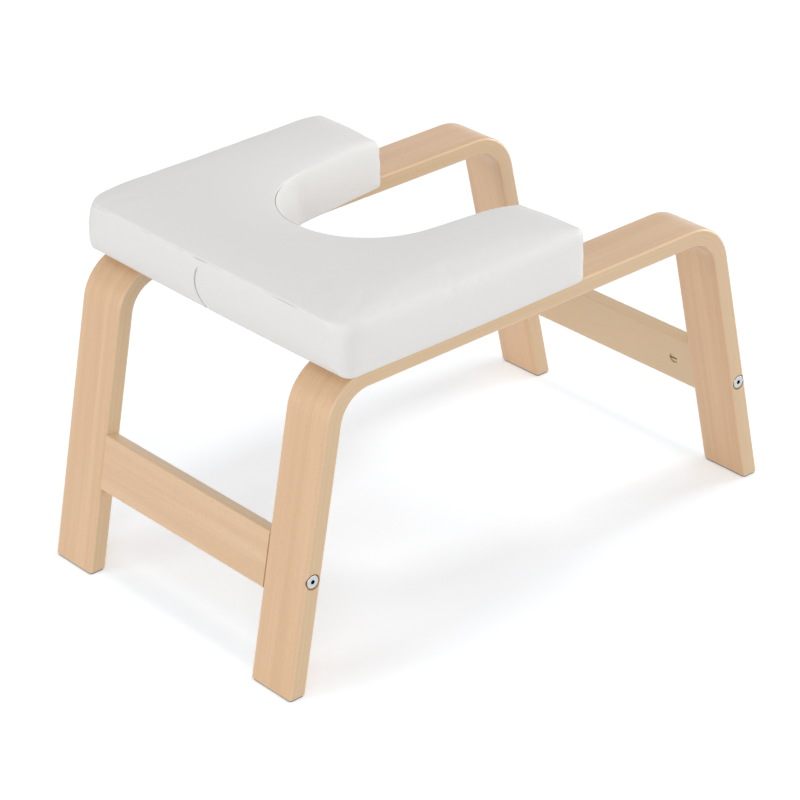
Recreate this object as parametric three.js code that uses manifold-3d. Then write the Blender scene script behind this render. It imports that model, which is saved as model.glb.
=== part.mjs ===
// A yoga headstand stool: two bent plywood side frames tied by two crossbars carry a padded seat.
// The seat is a U in plan, and the head goes down through the gap between its two arms.
// Millimetres, +Z up. The origin is on the floor under the middle of the frame, +X points to the
// open end of the seat, and the left side frame stands on the -Y side.

import * as THREE from "three";
import { mergeVertices } from "three/addons/utils/BufferGeometryUtils.js";
import Module from "manifold-3d";

const wasm = await Module();
wasm.setup();

// Whole stool
const overallLength = 610; // foot tip to foot tip
const frameWidth = 356; // outer side of one side frame to outer side of the other
const railTopHeight = 301; // floor to the face that the seat rests on
const clearance = 0.3; // gap between two pieces that touch
const cutOverrun = 1; // how far a cut runs past the face that it starts from

// Side frames, each one strip of glued veneers bent into an upside-down U
const stripWidth = 56;
const stripThickness = 18;
const bendOuterRadius = 51;
const legSplayDegrees = 11.7; // lean of the legs from upright
const stripEdgeRound = 3;

// Foot pads, stuck under the legs
const footPadThickness = 1.7;
const footPadInset = 1;
const footPadCornerRadius = 3;

// Crossbars, butted between the legs
const crossbarHeight = 56; // along the slope of the legs
const crossbarThickness = 15.5;
const crossbarCentreHeight = 114; // floor to the middle of the section
const crossbarFaceInset = 0.5; // behind the leg's outer face
const crossbarEdgeRound = 2.5;

// Crossbar bolts, from the outer side of each leg into the end of the crossbar
const boltDiameter = 6;
const boltHeadDiameter = 14.5;
const boltHeadThickness = 2.4;
const boltHeadChamfer = 0.5;
const boltHeadSink = 0.3; // from the leg's side down to the top of the head
const boltTipChamfer = 0.8;
const boltEndPastNut = 3;
const counterboreMargin = 0.6;
const hexKeySize = 4; // across the flats
const hexSocketDepth = 1.7;

// Barrel nuts, let into the inner face of the crossbar
const barrelNutDiameter = 10;
const barrelNutLength = 11.5;
const barrelNutSetback = 26; // end of the crossbar to the nut's axis
const barrelNutRecess = 1;
const nutSlotWidth = 1.4;
const nutSlotDepth = 1.6;

// Dowels, one above and one below each bolt
const dowelDiameter = 8;
const dowelLength = 30;
const dowelSpacing = 34;
const dowelChamfer = 1;

// Seat outline, at the fullest part of its sides
const seatPastBend = 38.9; // from where a rail starts to bend out to the closed end
const seatLength = 295;
const seatOverhang = 10.5; // outer side of a side frame out to the long side
const seatClosedCornerRadius = 16;
const seatOpenCornerRadius = 10;
const armTipInnerRadius = 9;
const tightestCornerRadius = 1.5;
const sideBow = 1.5; // how far the middle of a long side stands out past its ends
const armWidth = 102.5; // at the root of an arm
const closedEndDepth = 116.5; // closed end in to the round end of the gap
const neckFlareDegrees = 6.5;

// Seat section, from the rails up
const bottomClothThickness = 0.8;
const bottomClothInset = 14;
const coverThickness = 1.2;
const hemReach = 28; // from the fullest side in to the end of the turned-in hem
const sideHeight = 51.5; // turned-in hem to the seam at the top edge
const bottomTuck = 4.5; // how far the sides draw in where they turn under the board
const closedEndTuck = 7.5; // how much more the closed end draws in there
const closedEndTuckHeight = 16;
const neckLean = 5; // how far the closed end of the neck leans back at the seam
const neckSideLean = 2.5; // the same for the inner sides of the arms
const armTipLean = 2.5; // the same for the ends of the arms
const leanStartHeight = 20;
const crownRise = 9.5;
const crownReach = 34; // from the seam in to the flat of the crown
const boardThickness = 12;
const boardInset = 7.5;

// The side from the turn under the board up to the seam: draw-in as shares of bottomTuck, height as
// shares of sideHeight
const sideDrawInShares = [1, 0.47, 0.15, 0.03, 0, 0.13, 0.48];
const sideHeightShares = [0, 0.023, 0.062, 0.14, 0.42, 0.74, 1];
const foamLipIndex = 2; // the row of those shares where the foam's lower lip ends
// The crown from the seam in, as shares of crownReach
const crownReachShares = [0, 0.12, 0.3, 0.6, 1];

// Seat bolts, from under the rails into tee nuts in the board
const seatBoltPastBend = 11.5; // from where the rail starts to bend, towards the middle
const seatBoltSetback = 46.5; // open end of the seat in to the bolt
const seatBoltHeadDiameter = 11;
const seatBoltHeadHeight = 3.3;
const seatBoltHeadChamfer = 1.5;
const seatBoltTipGap = 1; // from the tip of the bolt up to the top of the board
const washerDiameter = 18;
const washerThickness = 1.6;
const teeNutFlangeDiameter = 19;
const teeNutFlangeThickness = 1.5;
const teeNutBarrelDiameter = 8.6;
const teeNutBarrelLength = 9;

// Facets
const boltSides = 20;
const bigRoundSides = 24;
const smallRoundSides = 12;
const hexSides = 6;
const bendSteps = 5;
const edgeRoundSteps = 2;
const neckSteps = 16;
const seatCornerSteps = 3;
const bowSteps = 4;

// Places worked out from the sizes above
const splay = THREE.MathUtils.degToRad(legSplayDegrees);
const flare = THREE.MathUtils.degToRad(neckFlareDegrees);
const legBottom = footPadThickness + clearance;
const halfWidth = frameWidth / 2;
const legInnerY = halfWidth - stripWidth;
const railCentreY = halfWidth - stripWidth / 2;
const railBottom = railTopHeight - stripThickness;
const bendZ = railTopHeight - bendOuterRadius;
const bendInset = (bendOuterRadius + (bendZ - legBottom) * Math.sin(splay)) / Math.cos(splay);
const bendX = bendInset - overallLength / 2;
const crossbarDepth = crossbarFaceInset + crossbarThickness / 2;
const crossbarSlope = (crossbarCentreHeight - legBottom + crossbarDepth * Math.sin(splay)) / Math.cos(splay);
const boltHoleRadius = boltDiameter / 2 + clearance;
const dowelHoleRadius = dowelDiameter / 2 + clearance;
const boltSeatDepth = boltHeadSink + boltHeadThickness;
const boltTipY = legInnerY - barrelNutSetback - barrelNutDiameter / 2 - boltEndPastNut;
const seatClosedEndX = bendX - seatPastBend;
const seatOpenEndX = seatClosedEndX + seatLength;
const seatHalfWidth = halfWidth + seatOverhang;
const neckRadius = seatHalfWidth - armWidth;
const neckCentreX = seatClosedEndX + closedEndDepth + neckRadius;
const seatBoltRows = { closed_end: bendX + seatBoltPastBend, open_end: seatOpenEndX - seatBoltSetback };
const clothBottom = railTopHeight + clearance;
const hemBottom = clothBottom + bottomClothThickness + clearance;
const boardBottom = hemBottom + coverThickness + clearance;
const boardTop = boardBottom + boardThickness;
const seamInset = bottomTuck * sideDrawInShares.at(-1);

// Materials
function finish(colour, roughness, metalness) {
  return new THREE.MeshStandardMaterial({ color: colour, roughness, metalness, flatShading: true });
}
const bentPly = finish(0xdeba96, 0.45, 0);
const crossbarPly = finish(0xe0bb95, 0.45, 0);
const boardPly = finish(0xcdb08a, 0.7, 0);
const dowelWood = finish(0xd8b98c, 0.7, 0);
const zincSteel = finish(0xb9bcc0, 0.35, 1);
const whiteLeather = finish(0xe6e5e1, 0.5, 0);
const foam = finish(0xe8dfc4, 0.9, 0);
const liningCloth = finish(0x3b3b3d, 0.9, 0);
const padFelt = finish(0x9b9892, 0.85, 0);

// Solids
function solidOf(geometry) {
  const bare = geometry.clone();
  bare.deleteAttribute("normal");
  bare.deleteAttribute("uv");
  const merged = mergeVertices(bare);
  const triVerts = new Uint32Array(merged.index.array);
  return new wasm.Manifold(
    new wasm.Mesh({ numProp: 3, vertProperties: merged.attributes.position.array, triVerts }),
  );
}

function geometryOf(solid) {
  const made = solid.getMesh();
  const geometry = new THREE.BufferGeometry();
  geometry.setAttribute("position", new THREE.BufferAttribute(made.vertProperties, 3));
  geometry.setIndex(new THREE.BufferAttribute(made.triVerts, 1));
  geometry.computeVertexNormals();
  return geometry;
}

function cut(geometry, cutters) {
  let solid = solidOf(geometry);
  for (const cutter of cutters) solid = solid.subtract(solidOf(cutter));
  return geometryOf(solid);
}

function piece(name, geometry, material) {
  const mesh = new THREE.Mesh(geometry, material);
  mesh.name = name;
  return mesh;
}

// A round bar along Y or Z from one place on its axis to another.
function barAlongY(radius, fromY, toY, x, z, sides = boltSides) {
  const bar = new THREE.CylinderGeometry(radius, radius, Math.abs(toY - fromY), sides);
  return bar.translate(x, (fromY + toY) / 2, z);
}

function barAlongZ(radius, fromZ, toZ, x, y, sides = boltSides) {
  const bar = new THREE.CylinderGeometry(radius, radius, Math.abs(toZ - fromZ), sides);
  return bar.rotateX(Math.PI / 2).translate(x, y, (fromZ + toZ) / 2);
}

// A turned piece about Y. Its profile is a list of radius and height, from the low end to the high.
function turned(profile, sides) {
  return new THREE.LatheGeometry(profile.map(([radius, height]) => new THREE.Vector2(radius, height)), sides);
}

// A bolt about Y with its tip down at 0 and a head on top with a hex socket in it.
function boltGeometry(shankLength, headDiameter, headHeight, headChamfer, sides) {
  const shank = boltDiameter / 2;
  const head = headDiameter / 2;
  const top = shankLength + headHeight;
  const body = turned(
    [
      [0, 0],
      [shank - boltTipChamfer, 0],
      [shank, boltTipChamfer],
      [shank, shankLength],
      [head, shankLength],
      [head, top - headChamfer],
      [head - headChamfer, top],
      [0, top],
    ],
    sides,
  );
  const socketRadius = hexKeySize / 2 / Math.cos(Math.PI / hexSides);
  const socket = barAlongY(socketRadius, top - hexSocketDepth, top + cutOverrun, 0, 0, hexSides);
  return cut(body, [socket]);
}

// Side frames
function sideFrameProfile() {
  const footX = -overallLength / 2;
  const bendInnerRadius = bendOuterRadius - stripThickness;
  const innerFootX = footX + stripThickness / Math.cos(splay);
  const shape = new THREE.Shape();
  shape.moveTo(innerFootX, legBottom);
  shape.lineTo(footX, legBottom);
  shape.absarc(bendX, bendZ, bendOuterRadius, Math.PI - splay, Math.PI / 2, true);
  shape.absarc(-bendX, bendZ, bendOuterRadius, Math.PI / 2, splay, true);
  shape.lineTo(-footX, legBottom);
  shape.lineTo(-innerFootX, legBottom);
  shape.absarc(-bendX, bendZ, bendInnerRadius, splay, Math.PI / 2, false);
  shape.absarc(bendX, bendZ, bendInnerRadius, Math.PI / 2, Math.PI - splay, false);
  return shape;
}

// An outline in X and Z as a bar along Y, from lowY to highY, with its long edges rounded.
function barOfSection(shape, lowY, highY, edgeRound) {
  const bar = new THREE.ExtrudeGeometry(shape, {
    depth: highY - lowY - 2 * edgeRound,
    curveSegments: bendSteps,
    bevelEnabled: edgeRound > 0,
    bevelThickness: edgeRound,
    bevelSize: edgeRound,
    bevelOffset: -edgeRound,
    bevelSegments: edgeRoundSteps,
  });
  return bar.rotateX(Math.PI / 2).translate(0, highY - edgeRound, 0);
}

// The two ends of the stool. In an end group the origin is the outer corner of the legs' feet,
// X runs straight in from the legs' outer face, and Z runs up along the legs.
function endGroup(turn) {
  const end = new THREE.Group();
  end.rotation.z = turn;
  const leg = new THREE.Group();
  leg.position.set(-overallLength / 2, 0, legBottom);
  leg.rotation.y = splay;
  end.add(leg);
  end.updateMatrixWorld(true);
  return { end, leg };
}
const ends = { closed_end: endGroup(0), open_end: endGroup(Math.PI) };

// Side of an end group that a side of the stool lies on: the open end is turned half round.
const sideSigns = { left: -1, right: 1 };
function localSide(endName, sideName) {
  return endName === "closed_end" ? sideSigns[sideName] : -sideSigns[sideName];
}

const dowelOffsets = { upper: dowelSpacing / 2, lower: -dowelSpacing / 2 };

// Holes that a crossbar joint needs in the leg, in the end group's own axes.
function legJointHoles(side) {
  const outer = side * halfWidth;
  const inner = side * legInnerY;
  const boreRadius = boltHeadDiameter / 2 + counterboreMargin;
  const boreFloor = outer - side * (boltSeatDepth + clearance);
  const dowelFloor = inner + side * (dowelLength / 2 + clearance);
  const past = side * cutOverrun;
  const holes = [
    barAlongY(boltHoleRadius, inner - past, outer + past, crossbarDepth, crossbarSlope),
    barAlongY(boreRadius, boreFloor, outer + past, crossbarDepth, crossbarSlope, bigRoundSides),
  ];
  for (const offset of Object.values(dowelOffsets)) {
    const height = crossbarSlope + offset;
    holes.push(barAlongY(dowelHoleRadius, inner - past, dowelFloor, crossbarDepth, height, smallRoundSides));
  }
  return holes;
}

function sideFrame(sideName) {
  const sign = sideSigns[sideName];
  const lowY = Math.min(sign * halfWidth, sign * legInnerY);
  const blank = barOfSection(sideFrameProfile(), lowY, lowY + stripWidth, stripEdgeRound);
  const holes = [];
  for (const [endName, { leg }] of Object.entries(ends))
    for (const hole of legJointHoles(localSide(endName, sideName)))
      holes.push(hole.applyMatrix4(leg.matrixWorld));
  for (const x of Object.values(seatBoltRows))
    holes.push(
      barAlongZ(boltHoleRadius, railBottom - cutOverrun, railTopHeight + cutOverrun, x, sign * railCentreY),
    );
  return piece(sideName + "_frame", cut(blank, holes), bentPly);
}

// Crossbars
function roundedRectangle(lowX, highX, lowZ, highZ, radius) {
  const shape = new THREE.Shape();
  shape.absarc(highX - radius, lowZ + radius, radius, -Math.PI / 2, 0, false);
  shape.absarc(highX - radius, highZ - radius, radius, 0, Math.PI / 2, false);
  shape.absarc(lowX + radius, highZ - radius, radius, Math.PI / 2, Math.PI, false);
  shape.absarc(lowX + radius, lowZ + radius, radius, Math.PI, Math.PI * 1.5, false);
  return shape;
}

function crossbar(endName) {
  const innerFace = crossbarFaceInset + crossbarThickness;
  const halfLength = legInnerY - clearance;
  const section = roundedRectangle(
    crossbarFaceInset,
    innerFace,
    crossbarSlope - crossbarHeight / 2,
    crossbarSlope + crossbarHeight / 2,
    crossbarEdgeRound,
  );
  const blank = new THREE.ExtrudeGeometry(section, {
    depth: 2 * halfLength,
    curveSegments: edgeRoundSteps,
    bevelEnabled: false,
  });
  blank.rotateX(Math.PI / 2).translate(0, halfLength, 0);
  const nutFloor = innerFace - barrelNutRecess - barrelNutLength - clearance;
  const holes = [];
  for (const side of Object.values(sideSigns)) {
    const face = side * (halfLength + cutOverrun);
    const boltFloor = side * (boltTipY - clearance);
    const nutHole = barAlongY(barrelNutDiameter / 2 + clearance, nutFloor, innerFace + cutOverrun, 0, 0);
    nutHole.rotateZ(-Math.PI / 2);
    nutHole.translate(0, side * (legInnerY - barrelNutSetback), crossbarSlope);
    holes.push(nutHole);
    holes.push(barAlongY(boltHoleRadius, boltFloor, face, crossbarDepth, crossbarSlope));
    for (const offset of Object.values(dowelOffsets)) {
      const dowelFloor = side * (legInnerY - dowelLength / 2 - clearance);
      const height = crossbarSlope + offset;
      holes.push(barAlongY(dowelHoleRadius, dowelFloor, face, crossbarDepth, height, smallRoundSides));
    }
  }
  return piece(endName + "_crossbar", cut(blank, holes), crossbarPly);
}

// Joint hardware, in the end group's own axes
function crossbarBolt(name, side) {
  const shankLength = halfWidth - boltSeatDepth - boltTipY;
  const geometry = boltGeometry(shankLength, boltHeadDiameter, boltHeadThickness, boltHeadChamfer, boltSides);
  const bolt = piece(name, geometry, zincSteel);
  bolt.rotation.x = side > 0 ? 0 : Math.PI;
  bolt.position.set(crossbarDepth, side * boltTipY, crossbarSlope);
  return bolt;
}

function barrelNut(name, side) {
  const radius = barrelNutDiameter / 2;
  const slotFloor = barrelNutLength - nutSlotDepth;
  const axisHeight = barrelNutLength + barrelNutRecess - crossbarThickness / 2;
  const body = barAlongY(radius, 0, barrelNutLength, 0, 0);
  const slotLength = barrelNutDiameter + 2 * cutOverrun;
  const slot = new THREE.BoxGeometry(slotLength, nutSlotDepth + cutOverrun, nutSlotWidth);
  slot.translate(0, slotFloor + (nutSlotDepth + cutOverrun) / 2, 0);
  const threadedHole = barAlongZ(boltHoleRadius, -radius - cutOverrun, radius + cutOverrun, 0, 0);
  threadedHole.rotateY(Math.PI / 2).translate(0, axisHeight, 0);
  const nut = piece(name, cut(body, [slot, threadedHole]), zincSteel);
  nut.rotation.z = -Math.PI / 2;
  const lowEndX = crossbarDepth - axisHeight;
  nut.position.set(lowEndX, side * (legInnerY - barrelNutSetback), crossbarSlope);
  return nut;
}

function dowel(name, side, offset) {
  const radius = dowelDiameter / 2;
  const profile = [
    [0, 0],
    [radius - dowelChamfer, 0],
    [radius, dowelChamfer],
    [radius, dowelLength - dowelChamfer],
    [radius - dowelChamfer, dowelLength],
    [0, dowelLength],
  ];
  const pin = piece(name, turned(profile, smallRoundSides), dowelWood);
  pin.position.set(crossbarDepth, side * legInnerY - dowelLength / 2, crossbarSlope + offset);
  return pin;
}

function footPad(name, endName, sideName) {
  const run = stripThickness / Math.cos(splay);
  const lowX = -overallLength / 2 + footPadInset;
  const highX = -overallLength / 2 + run - footPadInset;
  const halfY = stripWidth / 2 - footPadInset;
  const outline = roundedRectangle(lowX, highX, -halfY, halfY, footPadCornerRadius);
  const geometry = new THREE.ExtrudeGeometry(outline, {
    depth: footPadThickness,
    curveSegments: edgeRoundSteps,
    bevelEnabled: false,
  });
  geometry.translate(0, localSide(endName, sideName) * railCentreY, 0);
  return piece(name, geometry, padFelt);
}

// Seat outline in plan at a height, drawn in by an inset: one closed loop of points, anticlockwise
// from above. The closed end draws in further near the bottom, and the neck and the ends of the
// arms lean back towards the top.
function seatOutline(inset, height) {
  const rise = height - hemBottom;
  const tuckShare = THREE.MathUtils.clamp(1 - rise / closedEndTuckHeight, 0, 1) ** 2;
  const leanHeight = sideHeight - leanStartHeight;
  const leanShare = THREE.MathUtils.clamp((rise - leanStartHeight) / leanHeight, 0, 1) ** 2;
  const closedX = seatClosedEndX + inset + closedEndTuck * tuckShare;
  const openX = seatOpenEndX - inset - armTipLean * leanShare;
  const half = seatHalfWidth - inset;
  const closedRadius = Math.max(seatClosedCornerRadius - inset, tightestCornerRadius);
  const openRadius = Math.max(seatOpenCornerRadius - inset, tightestCornerRadius);
  const tipRadius = Math.max(armTipInnerRadius - inset, tightestCornerRadius);
  const neck = neckRadius + inset + neckSideLean * leanShare;
  const centreX = neckCentreX - (neckLean - neckSideLean) * leanShare;
  const tangentX = centreX - neck * Math.sin(flare);
  const tangentY = neck * Math.cos(flare);
  const tipX = openX - tipRadius;
  const tipY = tangentY + (tipRadius + (tipX - tangentX) * Math.sin(flare)) / Math.cos(flare);
  const points = [];
  const arc = (x, y, radius, from, to, steps) => {
    for (let i = 0; i <= steps; i++) {
      const angle = from + ((to - from) * i) / steps;
      points.push(new THREE.Vector2(x + radius * Math.cos(angle), y + radius * Math.sin(angle)));
    }
  };
  // Points between the last corner and the next, bowed out to the right of the way there.
  const bowedSide = (toX, toY) => {
    const from = points.at(-1).clone();
    const way = new THREE.Vector2(toX, toY).sub(from);
    const out = new THREE.Vector2(way.y, -way.x).normalize();
    for (let i = 1; i < bowSteps; i++) {
      const share = i / bowSteps;
      const bow = sideBow * Math.sin(Math.PI * share);
      points.push(from.clone().addScaledVector(way, share).addScaledVector(out, bow));
    }
  };
  const quarter = Math.PI / 2;
  arc(closedX + closedRadius, -half + closedRadius, closedRadius, -2 * quarter, -quarter, seatCornerSteps);
  bowedSide(openX - openRadius, -half);
  arc(openX - openRadius, -half + openRadius, openRadius, -quarter, 0, seatCornerSteps);
  arc(tipX, -tipY, tipRadius, 0, quarter - flare, seatCornerSteps);
  arc(centreX, 0, neck, 3 * quarter - flare, quarter + flare, neckSteps);
  arc(tipX, tipY, tipRadius, flare - quarter, 0, seatCornerSteps);
  arc(openX - openRadius, half - openRadius, openRadius, 0, quarter, seatCornerSteps);
  bowedSide(closedX + closedRadius, half);
  arc(closedX + closedRadius, half - closedRadius, closedRadius, quarter, 2 * quarter, seatCornerSteps);
  bowedSide(closedX, -half + closedRadius);
  return points;
}

// A solid made of seat outlines, one for each [inset, height] of a section, or [inset, height,
// height that gives the plan]. The section runs out along the bottom, up the side and in along the
// top. An open one is capped at both ends, and a closed one makes a ring that follows the outline.
function outlineSolid(section, closed) {
  const rings = section.map(([inset, height, planHeight = height]) =>
    seatOutline(inset, planHeight).map((point) => new THREE.Vector3(point.x, point.y, height)),
  );
  const count = rings[0].length;
  const positions = rings.flat().flatMap((point) => point.toArray());
  const index = [];
  const strips = closed ? rings.length : rings.length - 1;
  for (let ring = 0; ring < strips; ring++) {
    const low = ring * count;
    const high = ((ring + 1) % rings.length) * count;
    for (let i = 0; i < count; i++) {
      const next = (i + 1) % count;
      index.push(low + i, low + next, high + next, low + i, high + next, high + i);
    }
  }
  if (!closed) {
    const top = (rings.length - 1) * count;
    const capOf = (ring) => {
      const plan = ring.map((point) => new THREE.Vector2(point.x, point.y));
      return THREE.ShapeUtils.triangulateShape(plan, []);
    };
    for (const [a, b, c] of capOf(rings[0])) index.push(a, c, b);
    for (const [a, b, c] of capOf(rings.at(-1))) index.push(top + a, top + b, top + c);
  }
  const geometry = new THREE.BufferGeometry();
  geometry.setAttribute("position", new THREE.Float32BufferAttribute(positions, 3));
  geometry.setIndex(index);
  geometry.computeVertexNormals();
  return geometry;
}

// A section line moved towards the inside of the seat by a distance, square to its own run.
function movedIn(section, distance) {
  const normals = section.slice(1).map(([inset, height], i) => {
    const way = new THREE.Vector2(inset - section[i][0], height - section[i][1]).normalize();
    return new THREE.Vector2(way.y, -way.x);
  });
  return section.map(([inset, height], i) => {
    const before = normals[Math.max(i - 1, 0)];
    const after = normals[Math.min(i, normals.length - 1)];
    const middle = before.clone().add(after).normalize();
    const reach = distance / middle.dot(before);
    return [inset + middle.x * reach, height + middle.y * reach];
  });
}

const sideSection = sideHeightShares.map((share, i) => [
  bottomTuck * sideDrawInShares[i],
  hemBottom + sideHeight * share,
]);
const topEdge = sideSection.at(-1)[1] + clearance + coverThickness;
const crownSection = crownReachShares.map((share) => [
  seamInset + crownReach * share,
  topEdge + crownRise * Math.sin((Math.PI / 2) * share),
]);

function lowered(section, drop) {
  return section.map(([inset, height]) => [inset, height - drop]);
}

// Seat pieces
function coverBand() {
  const outside = [[hemReach, hemBottom], ...sideSection];
  const inside = movedIn(outside, coverThickness).reverse();
  return piece("cover_band", outlineSolid([...outside, ...inside], true), whiteLeather);
}

function coverTop() {
  const under = lowered(crownSection, coverThickness).reverse();
  return piece("cover_top", outlineSolid([...under, ...crownSection], false), whiteLeather);
}

function seatFoam() {
  const coverStack = coverThickness + clearance;
  const side = movedIn(sideSection, coverStack).slice(foamLipIndex);
  const pocketInset = boardInset - clearance;
  const lipHeight = side[0][1];
  const crown = lowered(crownSection.slice(1), coverStack);
  const roof = [pocketInset, boardTop + clearance, boardBottom];
  const wallFoot = [pocketInset, lipHeight, boardBottom];
  const section = [roof, wallFoot, ...side, ...crown];
  return piece("seat_foam", outlineSolid(section, false), foam);
}

// Seat bolts
const seatBoltPlaces = [];
for (const [endName, x] of Object.entries(seatBoltRows))
  for (const [sideName, sign] of Object.entries(sideSigns))
    seatBoltPlaces.push({ label: endName + "_" + sideName, x, y: sign * railCentreY });

function seatBoard() {
  const blank = outlineSolid(
    [
      [boardInset, boardBottom, boardBottom],
      [boardInset, boardTop, boardBottom],
    ],
    false,
  );
  const holes = [];
  for (const { x, y } of seatBoltPlaces) {
    const flangeFloor = boardTop - teeNutFlangeThickness - clearance;
    const barrelHole = teeNutBarrelDiameter / 2 + clearance;
    const flangeHole = teeNutFlangeDiameter / 2 + clearance;
    holes.push(barAlongZ(barrelHole, boardBottom - cutOverrun, boardTop + cutOverrun, x, y));
    holes.push(barAlongZ(flangeHole, flangeFloor, boardTop + cutOverrun, x, y, bigRoundSides));
  }
  return piece("seat_board", cut(blank, holes), boardPly);
}

function bottomCloth() {
  const clothTop = clothBottom + bottomClothThickness;
  const blank = outlineSolid(
    [
      [bottomClothInset, clothBottom],
      [bottomClothInset, clothTop],
    ],
    false,
  );
  const holes = seatBoltPlaces.map(({ x, y }) =>
    barAlongZ(boltHoleRadius, clothBottom - cutOverrun, clothTop + cutOverrun, x, y),
  );
  return piece("bottom_cloth", cut(blank, holes), liningCloth);
}

function washer(name) {
  const hole = boltHoleRadius;
  const rim = washerDiameter / 2;
  const profile = [
    [hole, 0],
    [rim, 0],
    [rim, washerThickness],
    [hole, washerThickness],
    [hole, 0],
  ];
  return piece(name, turned(profile, bigRoundSides), zincSteel);
}

function teeNut(name) {
  const hole = boltHoleRadius;
  const barrel = teeNutBarrelDiameter / 2;
  const flange = teeNutFlangeDiameter / 2;
  const top = teeNutBarrelLength + teeNutFlangeThickness;
  const profile = [
    [hole, 0],
    [barrel, 0],
    [barrel, teeNutBarrelLength],
    [flange, teeNutBarrelLength],
    [flange, top],
    [hole, top],
    [hole, 0],
  ];
  return piece(name, turned(profile, smallRoundSides), zincSteel);
}

function seatBolt(name, length) {
  const sizes = [length, seatBoltHeadDiameter, seatBoltHeadHeight, seatBoltHeadChamfer];
  return piece(name, boltGeometry(...sizes, smallRoundSides), zincSteel);
}

function seatFastening({ label, x, y }) {
  const group = new THREE.Group();
  const washerTop = railBottom - clearance;
  const headTop = washerTop - washerThickness - clearance;
  const tip = boardTop - seatBoltTipGap;
  const ring = washer(label + "_seat_washer");
  const nut = teeNut(label + "_tee_nut");
  const bolt = seatBolt(label + "_seat_bolt", tip - headTop);
  for (const turnedPiece of [ring, nut]) turnedPiece.rotation.x = Math.PI / 2;
  bolt.rotation.x = -Math.PI / 2;
  ring.position.z = washerTop - washerThickness;
  nut.position.z = boardTop - teeNutBarrelLength - teeNutFlangeThickness;
  bolt.position.z = tip;
  group.position.set(x, y, 0);
  group.add(ring, nut, bolt);
  return group;
}

// Assembly
const stool = new THREE.Group();
stool.name = "yoga_headstand_stool";
for (const [endName, { end, leg }] of Object.entries(ends)) {
  leg.add(crossbar(endName));
  for (const sideName of Object.keys(sideSigns)) {
    const side = localSide(endName, sideName);
    const label = endName + "_" + sideName;
    leg.add(crossbarBolt(label + "_bolt", side));
    leg.add(barrelNut(label + "_barrel_nut", side));
    for (const [height, offset] of Object.entries(dowelOffsets))
      leg.add(dowel(label + "_" + height + "_dowel", side, offset));
    end.add(footPad(label + "_foot_pad", endName, sideName));
  }
  stool.add(end);
}
for (const sideName of Object.keys(sideSigns)) stool.add(sideFrame(sideName));
stool.add(seatBoard(), seatFoam(), coverBand(), coverTop(), bottomCloth());
for (const place of seatBoltPlaces) stool.add(seatFastening(place));

export default stool;
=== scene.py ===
# %% [markdown]
# # A yoga headstand stool
#
# The stool is a low bench of pale bent plywood with a white padded seat. The seat is a U: the
# shoulders rest on its two arms, and the head goes down through the gap between them. The packed
# CAD model gives the place and size of all its parts. Here each part that shows is modelled again
# with smooth surfaces and real finishes, and takes the place of its CAD node.

# %% Load the frame
import math

import bmesh
import bpy
import numpy as np
from mathutils import Matrix, Vector, noise
from mathutils.geometry import delaunay_2d_cdt


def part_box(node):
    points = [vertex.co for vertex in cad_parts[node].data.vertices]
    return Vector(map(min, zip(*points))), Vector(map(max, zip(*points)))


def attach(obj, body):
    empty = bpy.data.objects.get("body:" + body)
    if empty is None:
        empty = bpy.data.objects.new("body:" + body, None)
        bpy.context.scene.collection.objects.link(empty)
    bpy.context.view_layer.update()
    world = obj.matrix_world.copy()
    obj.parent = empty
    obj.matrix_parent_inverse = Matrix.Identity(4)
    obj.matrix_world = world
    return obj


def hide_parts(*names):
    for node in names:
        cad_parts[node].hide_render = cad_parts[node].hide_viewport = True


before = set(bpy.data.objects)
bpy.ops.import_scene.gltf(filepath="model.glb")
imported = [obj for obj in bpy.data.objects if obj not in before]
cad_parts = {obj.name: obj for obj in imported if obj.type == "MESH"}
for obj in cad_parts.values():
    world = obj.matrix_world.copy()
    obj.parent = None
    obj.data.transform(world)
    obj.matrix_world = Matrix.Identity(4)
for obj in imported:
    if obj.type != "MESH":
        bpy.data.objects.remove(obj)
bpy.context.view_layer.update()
MM = 0.001
HAIR = 0.01 * MM
ENDS = {"closed_end": -1, "open_end": 1}
SIDES = {"left": -1, "right": 1}
CORNERS = {f"{end}_{side}": (ENDS[end], SIDES[side]) for end in ENDS for side in SIDES}

# %% [markdown]
# ## Camera
# A long lens looks at the closed end and the left side, from about 28 degrees above level.
# The camera's three axes are worked out from its azimuth, elevation and roll, and written into its
# matrix. That is surer than turning a camera by hand, because the picture's frame follows exactly.

# %% Camera
CAMERA_AZIMUTH = math.radians(-40.80)
CAMERA_ELEVATION = math.radians(28.23)
CAMERA_ROLL = math.radians(-1.30)
CAMERA_DISTANCE = 2.93698
CAMERA_TARGET = Vector((-0.0367, -0.02665, 0.150))
CAMERA_LENS = 138.64


def camera_matrix():
    level = math.cos(CAMERA_ELEVATION)
    back = Vector(
        (math.sin(CAMERA_AZIMUTH) * level, -math.cos(CAMERA_AZIMUTH) * level, math.sin(CAMERA_ELEVATION))
    )
    flat_right = Vector((0, 0, 1)).cross(back).normalized()
    flat_up = back.cross(flat_right)
    c, s = math.cos(CAMERA_ROLL), math.sin(CAMERA_ROLL)
    turn = Matrix((flat_right * c + flat_up * s, flat_up * c - flat_right * s, back)).transposed()
    return Matrix.Translation(CAMERA_TARGET + back * CAMERA_DISTANCE) @ turn.to_4x4()


bpy.ops.object.camera_add()
camera = bpy.context.object
camera.name = "photo_camera"
camera.matrix_world = camera_matrix()
camera.data.sensor_width = 36
camera.data.lens = CAMERA_LENS
camera.data.clip_end = 60
bpy.context.scene.camera = camera
print("camera at", [round(c, 3) for c in camera.location])

# %% [markdown]
# ## A maker's hand tools
# The same few moves come back for each piece: take one piece in hand, open its mesh, choose faces
# or edges by their place, and finish with a modifier. An operator acts on all that is selected, so
# each tool first lets go of everything else.


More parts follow.
